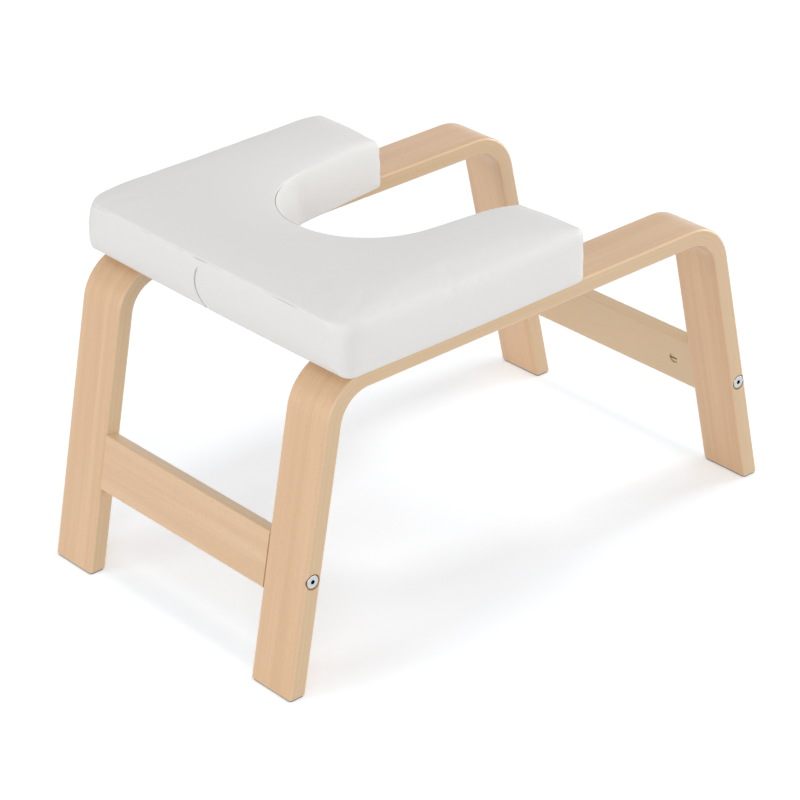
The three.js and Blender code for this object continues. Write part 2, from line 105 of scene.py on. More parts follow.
# %% Hand tools
def pick(piece):
    """Takes one piece in hand and lets go of all others."""
    if bpy.context.object and bpy.context.object.mode != "OBJECT":
        bpy.ops.object.mode_set(mode="OBJECT")
    bpy.ops.object.select_all(action="DESELECT")
    piece.select_set(True)
    bpy.context.view_layer.objects.active = piece


def open_mesh(piece, action="DESELECT"):
    """Edit mode with nothing chosen yet, or with all of it."""
    pick(piece)
    bpy.ops.object.mode_set(mode="EDIT")
    bpy.ops.mesh.select_mode(type="FACE")
    bpy.ops.mesh.select_all(action=action)


def choose(piece, wanted, kind="FACE"):
    """Chooses the faces or edges of an open mesh for which wanted() is true, and counts them."""
    bpy.ops.mesh.select_mode(type=kind)
    bpy.ops.mesh.select_all(action="DESELECT")
    mesh = bmesh.from_edit_mesh(piece.data)
    chosen = [part for part in (mesh.faces if kind == "FACE" else mesh.edges) if wanted(part)]
    for part in chosen:
        part.select_set(True)
    mesh.select_flush_mode()
    bmesh.update_edit_mesh(piece.data)
    return len(chosen)


def close_mesh():
    bpy.ops.object.mode_set(mode="OBJECT")


def climb(edge):
    """How much higher one end of an edge lies than the other."""
    return abs(edge.verts[0].co.z - edge.verts[1].co.z)


def lies_at(height):
    """A test for edges that lie level at a height."""
    return lambda edge: all(abs(v.co.z - height) < HAIR for v in edge.verts)


def break_edges(piece, wanted, width, segments):
    """Bevels the edges of an open mesh for which wanted() is true."""
    count = choose(piece, wanted, "EDGE")
    bpy.ops.mesh.bevel(offset=width, segments=segments, affect="EDGES")
    return count


# %% Finishing tools
def modify(piece, kind, **settings):
    """Adds a modifier, sets it and applies it."""
    pick(piece)
    modifier = piece.modifiers.new(kind.lower(), kind)
    for name, value in settings.items():
        setattr(modifier, name, value)
    bpy.ops.object.modifier_apply(modifier=modifier.name)


def settle(piece, name=None):
    """Puts the object's place, turn and scale into its mesh."""
    pick(piece)
    bpy.ops.object.transform_apply(location=True, rotation=True, scale=True)
    if name:
        piece.name = piece.data.name = name
    return piece


def outward(piece):
    """Merges doubles and turns all faces out."""
    open_mesh(piece, "SELECT")
    bpy.ops.mesh.remove_doubles(threshold=0.2 * HAIR)
    bpy.ops.mesh.normals_make_consistent(inside=False)
    close_mesh()


def polish(piece, degrees=35):
    """Smooth shading with the flats kept flat."""
    pick(piece)
    bpy.ops.object.shade_smooth_by_angle(angle=math.radians(degrees))
    modify(piece, "WEIGHTED_NORMAL", keep_sharp=True, weight=80)


# %% Starting shapes and cuts
def block(name, size, location=(0, 0, 0)):
    """A box of a given size."""
    bpy.ops.mesh.primitive_cube_add(size=1, location=location)
    bpy.context.object.scale = size
    return settle(bpy.context.object, name)


def rod(name, radius, start, end, sides=48):
    """A round rod from one point to another."""
    start, end = Vector(start), Vector(end)
    way = end - start
    bpy.ops.mesh.primitive_cylinder_add(
        vertices=sides,
        radius=radius,
        depth=way.length,
        location=(start + end) / 2,
        rotation=way.to_track_quat("Z", "Y").to_euler(),
    )
    return settle(bpy.context.object, name)


def cut_with(piece, cutters):
    """Takes each cutter's shape out of the piece and throws the cutter away."""
    for cutter in cutters:
        modify(piece, "BOOLEAN", operation="DIFFERENCE", object=cutter, solver="EXACT")
        bpy.data.objects.remove(cutter)


def copy_of(piece, name):
    """A copy with its own mesh."""
    pick(piece)
    bpy.ops.object.duplicate(linked=False)
    twin = bpy.context.object
    twin.name = twin.data.name = name
    return twin


# %% In the place of a CAD node
def stands_for(piece, slot, *nodes):
    """Puts a finished piece in the place of its CAD nodes."""
    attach(piece, "root")
    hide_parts(*nodes)
    return piece


def hand_in(piece, slot, node, degrees=30):
    """Cleans and shades a finished piece, and puts it in the place of its CAD node."""
    outward(piece)
    polish(piece, degrees)
    stands_for(piece, slot, node)


# %% [markdown]
# ## Sizes that the wooden parts share
# The CAD boxes give the rail's height and the frame's width. The bend, the lean of the legs and the
# places of the holes can't be read from a box, so they are named here, each once.

# %% Sizes of the frame
left_low, left_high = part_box("left_frame")
RAIL_TOP = left_high.z
FOOT_X = -left_low.x
LEG_BOTTOM = left_low.z
HALF_WIDTH = -left_low.y
STRIP_WIDTH = left_high.y - left_low.y
LEG_INNER_Y = HALF_WIDTH - STRIP_WIDTH
RAIL_MIDDLE_Y = HALF_WIDTH - STRIP_WIDTH / 2
STRIP_THICKNESS = 18 * MM
BEND_OUTER_RADIUS = 51 * MM
STRIP_EDGE_ROUND = 3 * MM
FOOT_EDGE_ROUND = 0.6 * MM
SPLAY = math.radians(11.7)
CLEARANCE = 0.3 * MM
PAST = 1 * MM  # how far a drill starts outside the wood

BEND_Z = RAIL_TOP - BEND_OUTER_RADIUS
BEND_X = FOOT_X - (BEND_OUTER_RADIUS + (BEND_Z - LEG_BOTTOM) * math.sin(SPLAY)) / math.cos(SPLAY)
BEND_ANGLE = math.pi / 2 - SPLAY
LEG_LENGTH = (BEND_Z - LEG_BOTTOM) / math.cos(SPLAY)
print("rail top", round(RAIL_TOP / MM, 2), "bend starts at x", round(BEND_X / MM, 2))

# %% Sizes of the joints
CROSSBAR_HEIGHT = 56 * MM
CROSSBAR_THICKNESS = 15.5 * MM
CROSSBAR_CENTRE_HEIGHT = 114 * MM
CROSSBAR_FACE_INSET = 0.5 * MM
CROSSBAR_DEPTH = CROSSBAR_FACE_INSET + CROSSBAR_THICKNESS / 2
CROSSBAR_SLOPE = (CROSSBAR_CENTRE_HEIGHT - LEG_BOTTOM + CROSSBAR_DEPTH * math.sin(SPLAY)) / math.cos(SPLAY)
BOLT_HOLE_RADIUS = 3.3 * MM
BOLT_HEAD_RADIUS = 6.3 * MM
BOLT_HEAD_THICKNESS = 2.4 * MM
BOLT_HEAD_SINK = 0.3 * MM
COUNTERBORE_RADIUS = 7.85 * MM
NUT_RADIUS = 5 * MM
NUT_LENGTH = 11.5 * MM
NUT_RECESS = 1 * MM
NUT_SETBACK = 26 * MM
BOLT_TIP_Y = LEG_INNER_Y - NUT_SETBACK - NUT_RADIUS - 3 * MM
DOWEL_HOLE_RADIUS = 4.3 * MM
DOWEL_HALF_LENGTH = 15 * MM
DOWEL_HALF_SPACING = 17 * MM


def leg_point(end, depth, y, slope):
    """A point by its depth in from a leg's outer face, its place across, and its way up the leg."""
    inward = depth * math.cos(SPLAY) + slope * math.sin(SPLAY)
    height = slope * math.cos(SPLAY) - depth * math.sin(SPLAY)
    return Vector((end * (FOOT_X - inward), y, LEG_BOTTOM + height))


# %% [markdown]
# ## Side frames
# Each side frame is one flat strip of glued beech veneers, pressed round a former into an
# upside-down U, so its section never changes. A sweep makes that best: the section is drawn once as
# a small rounded rectangle, extruded along half the rail, spun round the bend and extruded down the
# leg. A mirror makes the other half, and the feet are sawn level with the floor.


# %% Half a side frame
def strip_section():
    """The strip's rounded section, standing across the middle of the rail."""
    bpy.ops.mesh.primitive_plane_add(
        size=1,
        location=(0, -RAIL_MIDDLE_Y, RAIL_TOP - STRIP_THICKNESS / 2),
        rotation=(0, math.pi / 2, 0),
    )
    section = bpy.context.object
    section.scale = (STRIP_THICKNESS, STRIP_WIDTH, 1)
    settle(section, "left_side_frame")
    open_mesh(section, "SELECT")
    bpy.ops.mesh.bevel(offset=STRIP_EDGE_ROUND, segments=6, affect="VERTICES")
    close_mesh()
    return section


def push(way):
    bpy.ops.mesh.extrude_region_move(TRANSFORM_OT_translate={"value": way})


def side_frame_blank():
    strip = strip_section()
    open_mesh(strip, "SELECT")
    push((-BEND_X, 0, 0))
    bpy.ops.mesh.spin(
        steps=26, angle=BEND_ANGLE, center=(-BEND_X, 0, BEND_Z), axis=(0, 1, 0), use_auto_merge=False
    )
    spare = 30 * MM
    push((-(LEG_LENGTH + spare) * math.sin(SPLAY), 0, -(LEG_LENGTH + spare) * math.cos(SPLAY)))
    choose(strip, lambda f: abs(f.calc_center_median().x) < HAIR and abs(f.normal.x) > 0.9)
    bpy.ops.mesh.delete(type="FACE")
    bpy.ops.mesh.select_all(action="DESELECT")
    bpy.ops.mesh.select_mode(type="FACE")
    bpy.ops.mesh.select_interior_faces()
    bpy.ops.mesh.delete(type="FACE")
    close_mesh()
    modify(strip, "MIRROR", use_axis=(True, False, False), use_clip=True, merge_threshold=HAIR)
    return strip


blank = side_frame_blank()
print("side frame blank:", len(blank.data.vertices), "points")


# %% Saw the feet level
def saw_feet(strip):
    open_mesh(strip, "SELECT")
    bpy.ops.mesh.bisect(
        plane_co=(0, 0, LEG_BOTTOM), plane_no=(0, 0, 1), use_fill=True, clear_inner=True, clear_outer=False
    )
    close_mesh()
    outward(strip)
    open_mesh(strip)
    count = break_edges(strip, lies_at(LEG_BOTTOM), FOOT_EDGE_ROUND, 3)
    close_mesh()
    return count


print("foot edges broken:", saw_feet(blank))

# %% [markdown]
# ### Holes in the legs
# A crossbar joint needs a through hole for its bolt, a shallow counterbore for the head and two
# blind dowel holes. Each is a round cutter taken out with a boolean, the way a drill would do it.


# %% Drill a side frame
def leg_cutters(end, side):
    def at(y, slope_offset=0):
        return leg_point(end, CROSSBAR_DEPTH, side * y, CROSSBAR_SLOPE + slope_offset)

    bore_floor = HALF_WIDTH - BOLT_HEAD_SINK - BOLT_HEAD_THICKNESS - CLEARANCE
    cutters = [
        rod("drill", COUNTERBORE_RADIUS, at(bore_floor), at(HALF_WIDTH + PAST), 56),
        rod("drill", BOLT_HOLE_RADIUS, at(LEG_INNER_Y - PAST), at(bore_floor + PAST), 24),
    ]
    for offset in (DOWEL_HALF_SPACING, -DOWEL_HALF_SPACING):
        floor = at(LEG_INNER_Y + DOWEL_HALF_LENGTH + CLEARANCE, offset)
        cutters.append(rod("drill", DOWEL_HOLE_RADIUS, at(LEG_INNER_Y - PAST, offset), floor, 24))
    return cutters


def seat_drill(label, bottom, top):
    """A drill on the line of one seat bolt, from one height to another."""
    low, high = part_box(f"{label}_seat_washer")
    x, y, _ = (low + high) / 2
    return rod("drill", BOLT_HOLE_RADIUS, (x, y, bottom), (x, y, top), 24)


# %% [markdown]
# ### Where the wood lies
# Veneers and grain follow the bend, so a pattern on plain object coordinates would cut straight
# through it. Each point therefore keeps where it was while the strip was still flat: how far along,
# how far across and how deep. The wood's colour reads that attribute.


# %% Flat-strip coordinates
def flat_strip_place(co):
    """(along, across, depth) of a point on a side frame, before the strip was bent."""
    x, y, z = abs(co.x), abs(co.y) - RAIL_MIDDLE_Y, co.z
    dx, dz = x - BEND_X, z - BEND_Z
    middle_radius = BEND_OUTER_RADIUS - STRIP_THICKNESS / 2
    if dx <= 0:
        along, depth = x, RAIL_TOP - z
    else:
        angle = math.atan2(dx, dz)
        if angle <= BEND_ANGLE:
            along = BEND_X + angle * middle_radius
            depth = BEND_OUTER_RADIUS - math.hypot(dx, dz)
        else:
            down_leg = dx * math.sin(SPLAY) - dz * math.cos(SPLAY)
            along = BEND_X + BEND_ANGLE * middle_radius + down_leg
            depth = BEND_OUTER_RADIUS - (dx * math.cos(SPLAY) + dz * math.sin(SPLAY))
    return math.copysign(along, co.x), y, depth


# Where on one long sheet each piece is cut, in metres, so that no two have the same figure.
CUT_FROM = {"left": 0.0, "right": 3.4, "closed_end": 4.3, "open_end": 6.3}


def write_lay(piece, place, start):
    """Stores a piece's flat-strip coordinates. start says where on the long sheet it was cut."""
    lay = piece.data.attributes.new("lay", "FLOAT_VECTOR", "POINT")
    for point, item in zip(piece.data.vertices, lay.data):
        along, across, depth = place(point.co)
        item.vector = (along + start, across, depth)


# %% Both side frames
side_frames = {}
for side_name, side in SIDES.items():
    strip = copy_of(blank, f"{side_name}_side_frame")
    if side > 0:
        strip.location.y = 2 * RAIL_MIDDLE_Y
        settle(strip)
    rail_bottom = RAIL_TOP - STRIP_THICKNESS
    cutters = [seat_drill(f"{end}_{side_name}", rail_bottom - PAST, RAIL_TOP + PAST) for end in ENDS]
    for end in ENDS.values():
        cutters += leg_cutters(end, side)
    cut_with(strip, cutters)
    outward(strip)
    write_lay(strip, flat_strip_place, CUT_FROM[side_name])
    polish(strip)
    side_frames[side_name] = stands_for(strip, "bent_ply", f"{side_name}_frame")
    print(strip.name, len(strip.data.polygons), "faces")
bpy.data.objects.remove(blank)

# %% [markdown]
# ## Crossbars
# A crossbar is a plain board between two legs, set at the legs' lean. A cube is stretched to its
# size, its four long edges are rounded with a bevel, and it is drilled for bolts, dowels and the
# barrel nuts that show in its inner face.

# %% Crossbars
CROSSBAR_HALF_LENGTH = LEG_INNER_Y - CLEARANCE
CROSSBAR_EDGE_ROUND = 2.5 * MM


def crossbar_blank(end_name, end):
    bar = block(f"{end_name}_tie_bar", (CROSSBAR_THICKNESS, 2 * CROSSBAR_HALF_LENGTH, CROSSBAR_HEIGHT))
    open_mesh(bar)
    break_edges(bar, lambda e: e.calc_length() > CROSSBAR_HALF_LENGTH, CROSSBAR_EDGE_ROUND, 6)
    close_mesh()
    bar.location = leg_point(end, CROSSBAR_DEPTH, 0, CROSSBAR_SLOPE)
    bar.rotation_euler = (0, -end * SPLAY, 0)
    return settle(bar)


def crossbar_cutters(end):
    inner_face = CROSSBAR_DEPTH + CROSSBAR_THICKNESS / 2
    cutters = []
    for side in SIDES.values():

        def at(depth, y, slope_offset=0, side=side):
            return leg_point(end, depth, side * y, CROSSBAR_SLOPE + slope_offset)

        nut_y = LEG_INNER_Y - NUT_SETBACK
        nut_floor = inner_face - NUT_RECESS - NUT_LENGTH - CLEARANCE
        nut_hole = rod("drill", NUT_RADIUS + CLEARANCE, at(nut_floor, nut_y), at(inner_face + PAST, nut_y))
        bolt_floor = at(CROSSBAR_DEPTH, BOLT_TIP_Y - CLEARANCE)
        face = CROSSBAR_HALF_LENGTH + PAST
        cutters += [nut_hole, rod("drill", BOLT_HOLE_RADIUS, bolt_floor, at(CROSSBAR_DEPTH, face), 24)]
        for offset in (DOWEL_HALF_SPACING, -DOWEL_HALF_SPACING):
            floor = at(CROSSBAR_DEPTH, LEG_INNER_Y - DOWEL_HALF_LENGTH - CLEARANCE, offset)
            cutters.append(rod("drill", DOWEL_HOLE_RADIUS, floor, at(CROSSBAR_DEPTH, face, offset), 24))
    return cutters


def crossbar_place(end):
    """How a crossbar's points lie in its own board: along, across and deep."""
    centre = leg_point(end, CROSSBAR_DEPTH, 0, CROSSBAR_SLOPE)
    up = Vector((-end * math.sin(SPLAY), 0, math.cos(SPLAY)))
    out = Vector((end * math.cos(SPLAY), 0, math.sin(SPLAY)))

    def place(co):
        offset = co - centre
        return co.y, offset.dot(up), CROSSBAR_THICKNESS / 2 - offset.dot(out)

    return place


# %% Both crossbars
for end_name, end in ENDS.items():
    bar = crossbar_blank(end_name, end)
    cut_with(bar, crossbar_cutters(end))
    outward(bar)
    write_lay(bar, crossbar_place(end), CUT_FROM[end_name])
    polish(bar)
    stands_for(bar, "crossbar_ply", f"{end_name}_crossbar")
    print(bar.name, len(bar.data.polygons), "faces")

# %% [markdown]
# ## Bolts and nuts
# A crossbar bolt has a flat round head with a hex socket. It sits in a wider round recess, whose gap
# shows as a dark ring. It is modelled once, standing on the origin with its head up: a cylinder the
# size of the head, its underside inset and extruded into the shank, its rims broken with bevels,
# and the socket cut out with a six-sided cutter. Then it is copied and turned into each leg.


# %% A bolt with a hex socket
def mark_recess(piece, inside):
    """Marks the faces that lie deep in a socket or slot, where the finish paints shade and grease."""
    marks = piece.data.attributes.new("recess", "FLOAT", "FACE")
    for face in piece.data.polygons:
        marks.data[face.index].value = inside(face.center)


SHANK_RADIUS, SHANK_TIP_CHAMFER = 3 * MM, 0.8 * MM
KEY_ACROSS_FLATS, SOCKET_RIM_ROUND = 4 * MM, 0.15 * MM


def bolt_master(name, head_radius, head_height, shank_length, dome, socket_depth=1.7 * MM):
    """A bolt with its tip on the origin and its head up. dome is how far the head is rounded."""
    bolt = rod(name, head_radius, (0, 0, shank_length), (0, 0, shank_length + head_height), 56)
    top = shank_length + head_height
    open_mesh(bolt)
    choose(bolt, lambda f: f.normal.z < -0.9)
    bpy.ops.mesh.inset(thickness=head_radius - SHANK_RADIUS)
    push((0, 0, -shank_length))
    break_edges(bolt, lies_at(0), SHANK_TIP_CHAMFER, 1)
    break_edges(bolt, lies_at(top), dome, 5)
    close_mesh()
    socket_radius = KEY_ACROSS_FLATS / 2 / math.cos(math.pi / 6)
    socket = rod("socket", socket_radius, (0, 0, top - socket_depth), (0, 0, top + PAST), 6)
    cut_with(bolt, [socket])
    open_mesh(bolt)

    def socket_rim(edge):
        return lies_at(top)(edge) and all(v.co.xy.length < 1.1 * socket_radius for v in edge.verts)

    break_edges(bolt, socket_rim, SOCKET_RIM_ROUND, 2)
    close_mesh()
    low, high = top - socket_depth - 0.1 * MM, top - 0.2 * MM
    mark_recess(bolt, lambda c: low < c.z < high and c.xy.length < 1.05 * socket_radius)
    return bolt


def lay_along(piece, tip, way):
    """Turns a piece that stands up from the origin to point along way from tip."""
    piece.rotation_euler = Vector(way).to_track_quat("Z", "Y").to_euler()
    piece.location = tip
    settle(piece)


# %% One bolt for the frame
SHANK_LENGTH = HALF_WIDTH - BOLT_HEAD_SINK - BOLT_HEAD_THICKNESS - BOLT_TIP_Y
BOLT_DOME, BOLT_SOCKET_DEPTH = 0.5 * MM, 2.2 * MM
master_bolt = bolt_master(
    "bolt", BOLT_HEAD_RADIUS, BOLT_HEAD_THICKNESS, SHANK_LENGTH, BOLT_DOME, BOLT_SOCKET_DEPTH
)
print("one bolt:", len(master_bolt.data.polygons), "faces")

# %% [markdown]
# A barrel nut is a short steel cylinder with a screwdriver slot across its end, and a cross hole
# that the bolt screws into.

# %% A barrel nut
NUT_SLOT_WIDTH = 1.4 * MM
NUT_SLOT_DEPTH = 1.6 * MM
NUT_RIM_ROUND = 0.35 * MM
master_nut = rod("nut", NUT_RADIUS, (0, 0, 0), (0, 0, NUT_LENGTH))
open_mesh(master_nut)
break_edges(master_nut, lambda e: climb(e) < HAIR, NUT_RIM_ROUND, 3)
close_mesh()
slot_cutter = block("slot", (3 * NUT_RADIUS, NUT_SLOT_WIDTH, 2 * NUT_SLOT_DEPTH), (0, 0, NUT_LENGTH))
bolt_line = NUT_LENGTH + NUT_RECESS - CROSSBAR_THICKNESS / 2
reach = 2 * NUT_RADIUS
cross_hole = rod("drill", BOLT_HOLE_RADIUS, (-reach, 0, bolt_line), (reach, 0, bolt_line), 24)
cut_with(master_nut, [slot_cutter, cross_hole])
slot_low, slot_high = NUT_LENGTH - NUT_SLOT_DEPTH - 0.1 * MM, NUT_LENGTH - 0.1 * MM
mark_recess(master_nut, lambda c: slot_low < c.z < slot_high and abs(c.y) < 0.51 * NUT_SLOT_WIDTH)

# %% Bolt the frame together
NUT_FLOOR_DEPTH = CROSSBAR_DEPTH + CROSSBAR_THICKNESS / 2 - NUT_RECESS - NUT_LENGTH
for label, (end, side) in CORNERS.items():
    bolt = copy_of(master_bolt, f"{label}_frame_bolt")
    tip = leg_point(end, CROSSBAR_DEPTH, side * BOLT_TIP_Y, CROSSBAR_SLOPE)
    lay_along(bolt, tip, (0, side, 0))
    nut = copy_of(master_nut, f"{label}_cross_nut")
    across, inward = Vector((0, 1, 0)), Vector((-end * math.cos(SPLAY), 0, -math.sin(SPLAY)))
    turn = Matrix((across, inward.cross(across), inward)).transposed().to_4x4()
    floor_point = leg_point(end, NUT_FLOOR_DEPTH, side * (LEG_INNER_Y - NUT_SETBACK), CROSSBAR_SLOPE)
    nut.matrix_world = Matrix.Translation(floor_point) @ turn
    settle(nut)
    hand_in(bolt, "zinc_steel", f"{label}_bolt")
    hand_in(nut, "zinc_steel", f"{label}_barrel_nut")
for master in (master_bolt, master_nut):
    bpy.data.objects.remove(master)
print("frame bolted together")

# %% [markdown]
# ## Seat bolts and washers
# Four bolts come up through the rails into the seat's board. From below, their rounded heads and
# the washers under them show. Both are made as the frame's bolts were, with a rounder head.

# %% Seat bolts and washers
SEAT_HEAD_RADIUS, SEAT_HEAD_HEIGHT, SEAT_HEAD_DOME = 5.5 * MM, 3.3 * MM, 1.9 * MM
WASHER_RIM_ROUND = 0.2 * MM


def washer_rim(edge):
    return climb(edge) < HAIR and len(edge.link_faces) == 2 and abs(edge.calc_face_angle(0)) > 1


for label in CORNERS:
    low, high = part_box(f"{label}_seat_bolt")
    shank = high.z - low.z - SEAT_HEAD_HEIGHT
    bolt = bolt_master(f"{label}_pad_bolt", SEAT_HEAD_RADIUS, SEAT_HEAD_HEIGHT, shank, SEAT_HEAD_DOME)
    x, y = (low.x + high.x) / 2, (low.y + high.y) / 2
    lay_along(bolt, (x, y, high.z), (0, 0, -1))
    low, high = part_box(f"{label}_seat_washer")
    ring = rod(f"{label}_pad_washer", (high.x - low.x) / 2, (x, y, low.z), (x, y, high.z))
    cut_with(ring, [rod("drill", BOLT_HOLE_RADIUS, (x, y, low.z - PAST), (x, y, high.z + PAST), 32)])
    open_mesh(ring)
    break_edges(ring, washer_rim, WASHER_RIM_ROUND, 2)
    close_mesh()
    hand_in(bolt, "zinc_steel", f"{label}_seat_bolt")
    hand_in(ring, "zinc_steel", f"{label}_seat_washer")
print("seat bolts in place")

# %% [markdown]
# ## Foot pads
# A thin felt pad is stuck under each leg. It shows as a fine grey line, so a cube with rounded
# corners and a soft rim is enough.

# %% Foot pads
PAD_CORNER, PAD_RIM = 3 * MM, 0.3 * MM
for label in CORNERS:
    low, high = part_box(f"{label}_foot_pad")
    pad = block(f"{label}_felt_pad", high - low, (low + high) / 2)
    open_mesh(pad)
    break_edges(pad, lambda e: climb(e) > MM, PAD_CORNER, 6)
    break_edges(pad, lambda e: climb(e) < HAIR, PAD_RIM, 2)
    close_mesh()
    hand_in(pad, "foot_felt", f"{label}_foot_pad", 35)
print("felt pads stuck on")

# %% [markdown]
# ## The cushion
# The cushion is foam on a board, in a cover of white synthetic leather whose hem is stapled under
# the board. A voxel remesh of the CAD solid would round its seams away, so the cushion is built from
# rows instead, the way a cover is: each row is the outline of the seat at one height, drawn in by
# some amount. The outline is a U with round corners, slightly bowed sides and a round neck.

# %% Sizes of the seat
HEM_BOTTOM = 302.4 * MM
COVER_THICKNESS = 1.2 * MM
SEAM_RISE = 51.5
SIDE_HEIGHT = SEAM_RISE * MM
SEAM_HEIGHT = HEM_BOTTOM + SIDE_HEIGHT
TOP_EDGE = SEAM_HEIGHT + CLEARANCE + COVER_THICKNESS
CROWN_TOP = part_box("cover_top")[1].z
SEAT_CLOSED_X = -240.46 * MM
SEAT_OPEN_X = 55.1 * MM
SEAT_HALF_WIDTH = 188.5 * MM
SIDE_BOW = 1.5 * MM
CLOSED_CORNER, OPEN_CORNER, TIP_CORNER, TIGHTEST = 16 * MM, 10 * MM, 4 * MM, 1.5 * MM
CORNER_GATHER, CORNER_PINCH = 9 * MM, 6 * MM
NECK_RADIUS = 86 * MM
NECK_CENTRE_X = -37.96 * MM
NECK_FLARE = math.radians(6.5)
NECK_LEAN, NECK_SIDE_LEAN, LEAN_START = 5 * MM, 0.5 * MM, 20 * MM
CLOSED_TUCK, CLOSED_TUCK_HEIGHT = 6.5 * MM, 16 * MM
ARM_TUCK, ARM_TUCK_HEIGHT = 1.8 * MM, 26 * MM


def share(value):
    return min(max(value, 0.0), 1.0)


# %% Outline of the seat
OUTLINE_STEPS = {
    "closed_corner": 8,
    "long_side": 58,
    "open_corner": 7,
    "arm_end": 16,
    "tip_corner": 6,
    "arm_wall": 15,
    "neck": 52,
    "closed_end": 68,
}


def arc(part, centre, radius, start, stop):
    """Points on an arc, both ends included."""
    steps = OUTLINE_STEPS[part]
    angles = [start + (stop - start) * i / steps for i in range(steps + 1)]
    return [(part, centre[0] + radius * math.cos(a), centre[1] + radius * math.sin(a)) for a in angles]


def between(part, start, stop, bow=0.0):
    """Points between two ends, both left out, bowed to the right of the way."""
    steps = OUTLINE_STEPS[part]
    (_, x, y), (_, to_x, to_y) = start, stop
    length = math.hypot(to_x - x, to_y - y)
    out_x, out_y = (to_y - y) / length, -(to_x - x) / length
    points = []
    for i in range(1, steps):
        s = i / steps
        b = bow * math.sin(math.pi * s)
        points.append((part, x + (to_x - x) * s + out_x * b, y + (to_y - y) * s + out_y * b))
    return points


# %% The whole outline
def seat_outline(inset, height):
    """One closed loop of (part, x, y), anticlockwise from above, drawn in by inset."""
    rise = height - HEM_BOTTOM
    tuck = share(1 - rise / CLOSED_TUCK_HEIGHT) ** 2
    lean = share((rise - LEAN_START) / (SIDE_HEIGHT - LEAN_START)) ** 2
    closed_x = SEAT_CLOSED_X + inset + CLOSED_TUCK * tuck
    open_x = SEAT_OPEN_X - inset - ARM_TUCK * share(1 - rise / ARM_TUCK_HEIGHT)
    half = SEAT_HALF_WIDTH - inset
    gathered = CLOSED_CORNER + CORNER_GATHER * lean - CORNER_PINCH * tuck
    closed_r, open_r, tip_r = (max(r - inset, TIGHTEST) for r in (gathered, OPEN_CORNER, TIP_CORNER))
    neck_r = NECK_RADIUS + inset + NECK_SIDE_LEAN * lean
    centre_x = NECK_CENTRE_X - (NECK_LEAN - NECK_SIDE_LEAN) * lean
    tangent_x = centre_x - neck_r * math.sin(NECK_FLARE)
    tangent_y = neck_r * math.cos(NECK_FLARE)
    tip_x = open_x - tip_r
    tip_y = tangent_y + (tip_r + (tip_x - tangent_x) * math.sin(NECK_FLARE)) / math.cos(NECK_FLARE)
    quarter = math.pi / 2
    arcs = [
        arc("closed_corner", (closed_x + closed_r, closed_r - half), closed_r, -2 * quarter, -quarter),
        arc("open_corner", (open_x - open_r, open_r - half), open_r, -quarter, 0),
        arc("tip_corner", (tip_x, -tip_y), tip_r, 0, quarter - NECK_FLARE),
        arc("neck", (centre_x, 0), neck_r, 3 * quarter - NECK_FLARE, quarter + NECK_FLARE),
        arc("tip_corner", (tip_x, tip_y), tip_r, NECK_FLARE - quarter, 0),
        arc("open_corner", (open_x - open_r, half - open_r), open_r, 0, quarter),
        arc("closed_corner", (closed_x + closed_r, half - closed_r), closed_r, quarter, 2 * quarter),
    ]
    sides = ["long_side", "arm_end", "arm_wall", "arm_wall", "arm_end", "long_side", "closed_end"]
    bows = {"long_side": SIDE_BOW, "closed_end": SIDE_BOW}
    loop = []
    for i, (corner, side) in enumerate(zip(arcs, sides)):
        after = arcs[(i + 1) % len(arcs)][0]
        loop += corner + between(side, corner[-1], after, bows.get(side, 0.0))
    return loop


seam_outline = seat_outline(0, SEAM_HEIGHT)
OUTLINE_PARTS = [part for part, _, _ in seam_outline]
RING = len(seam_outline)
print("points in one row of the cover:", RING)

# %% [markdown]
# ### Section of the cushion
# Upwards from the hem, the cover turns round the bottom edge, stands nearly straight, and leans in
# a little towards the seam. Above the seam the top rises in a crown. The rows lie close together at
# the seam, where the groove is pressed in later.


# %% Rows of the cover
BOTTOM_ROUND = 7.2 * MM
BOTTOM_TUCK = 4.5 * MM
TOP_DRAW_IN = 2.16 * MM
CROWN_REACH = 34 * MM
HEM_REACH = 28 * MM
WALL_INSET = 7.2 * MM
BOARD_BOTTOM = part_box("seat_board")[0].z
POCKET_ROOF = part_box("seat_board")[1].z + CLEARANCE


def side_inset(rise):
    """How far the side is drawn in at a height above the hem."""
    if rise < BOTTOM_ROUND:
        return BOTTOM_TUCK * (1 - math.sqrt(1 - (1 - rise / BOTTOM_ROUND) ** 2))
    return TOP_DRAW_IN * share((rise / SIDE_HEIGHT - 0.42) / 0.58) ** 2


def crown_height(reach):
    return TOP_EDGE + (CROWN_TOP - TOP_EDGE) * (1 - (1 - share(reach / CROWN_REACH)) ** 2)


# Heights above the hem and reaches past the seam, in millimetres.
SIDE_RISES = [0, 0.7, 1.9, 3.8, 6.6, 10.5, 15, 19.5, 24, 28.5, 33, 37.5, 41.5, 45, 47.6, 49.5, 50.7]
SIDE_RISES += [SEAM_RISE, 52.2]
CROWN_REACHES = [0.35, 1.3, 2.8, 5.2]
HEM_INSETS = [HEM_REACH, 16 * MM, 9 * MM]
rows = [(inset, HEM_BOTTOM, HEM_BOTTOM) for inset in HEM_INSETS]
rows += [(side_inset(r * MM), HEM_BOTTOM + r * MM, HEM_BOTTOM + r * MM) for r in SIDE_RISES]
rows += [(TOP_DRAW_IN + r * MM, crown_height(r * MM), TOP_EDGE) for r in CROWN_REACHES]
seam_row = len(HEM_INSETS) + SIDE_RISES.index(SEAM_RISE)
print("rows from the hem to the crown:", len(rows))


# %% Fill a row
def from_loop(x, y, outline):
    """The distance from a point to a closed loop."""
    way = np.roll(outline, -1, axis=0) - outline
    along = np.clip(((np.array([x, y]) - outline) * way).sum(axis=1) / (way**2).sum(axis=1), 0, 1)
    return np.hypot(*(outline + way * along[:, None] - [x, y]).T).min()


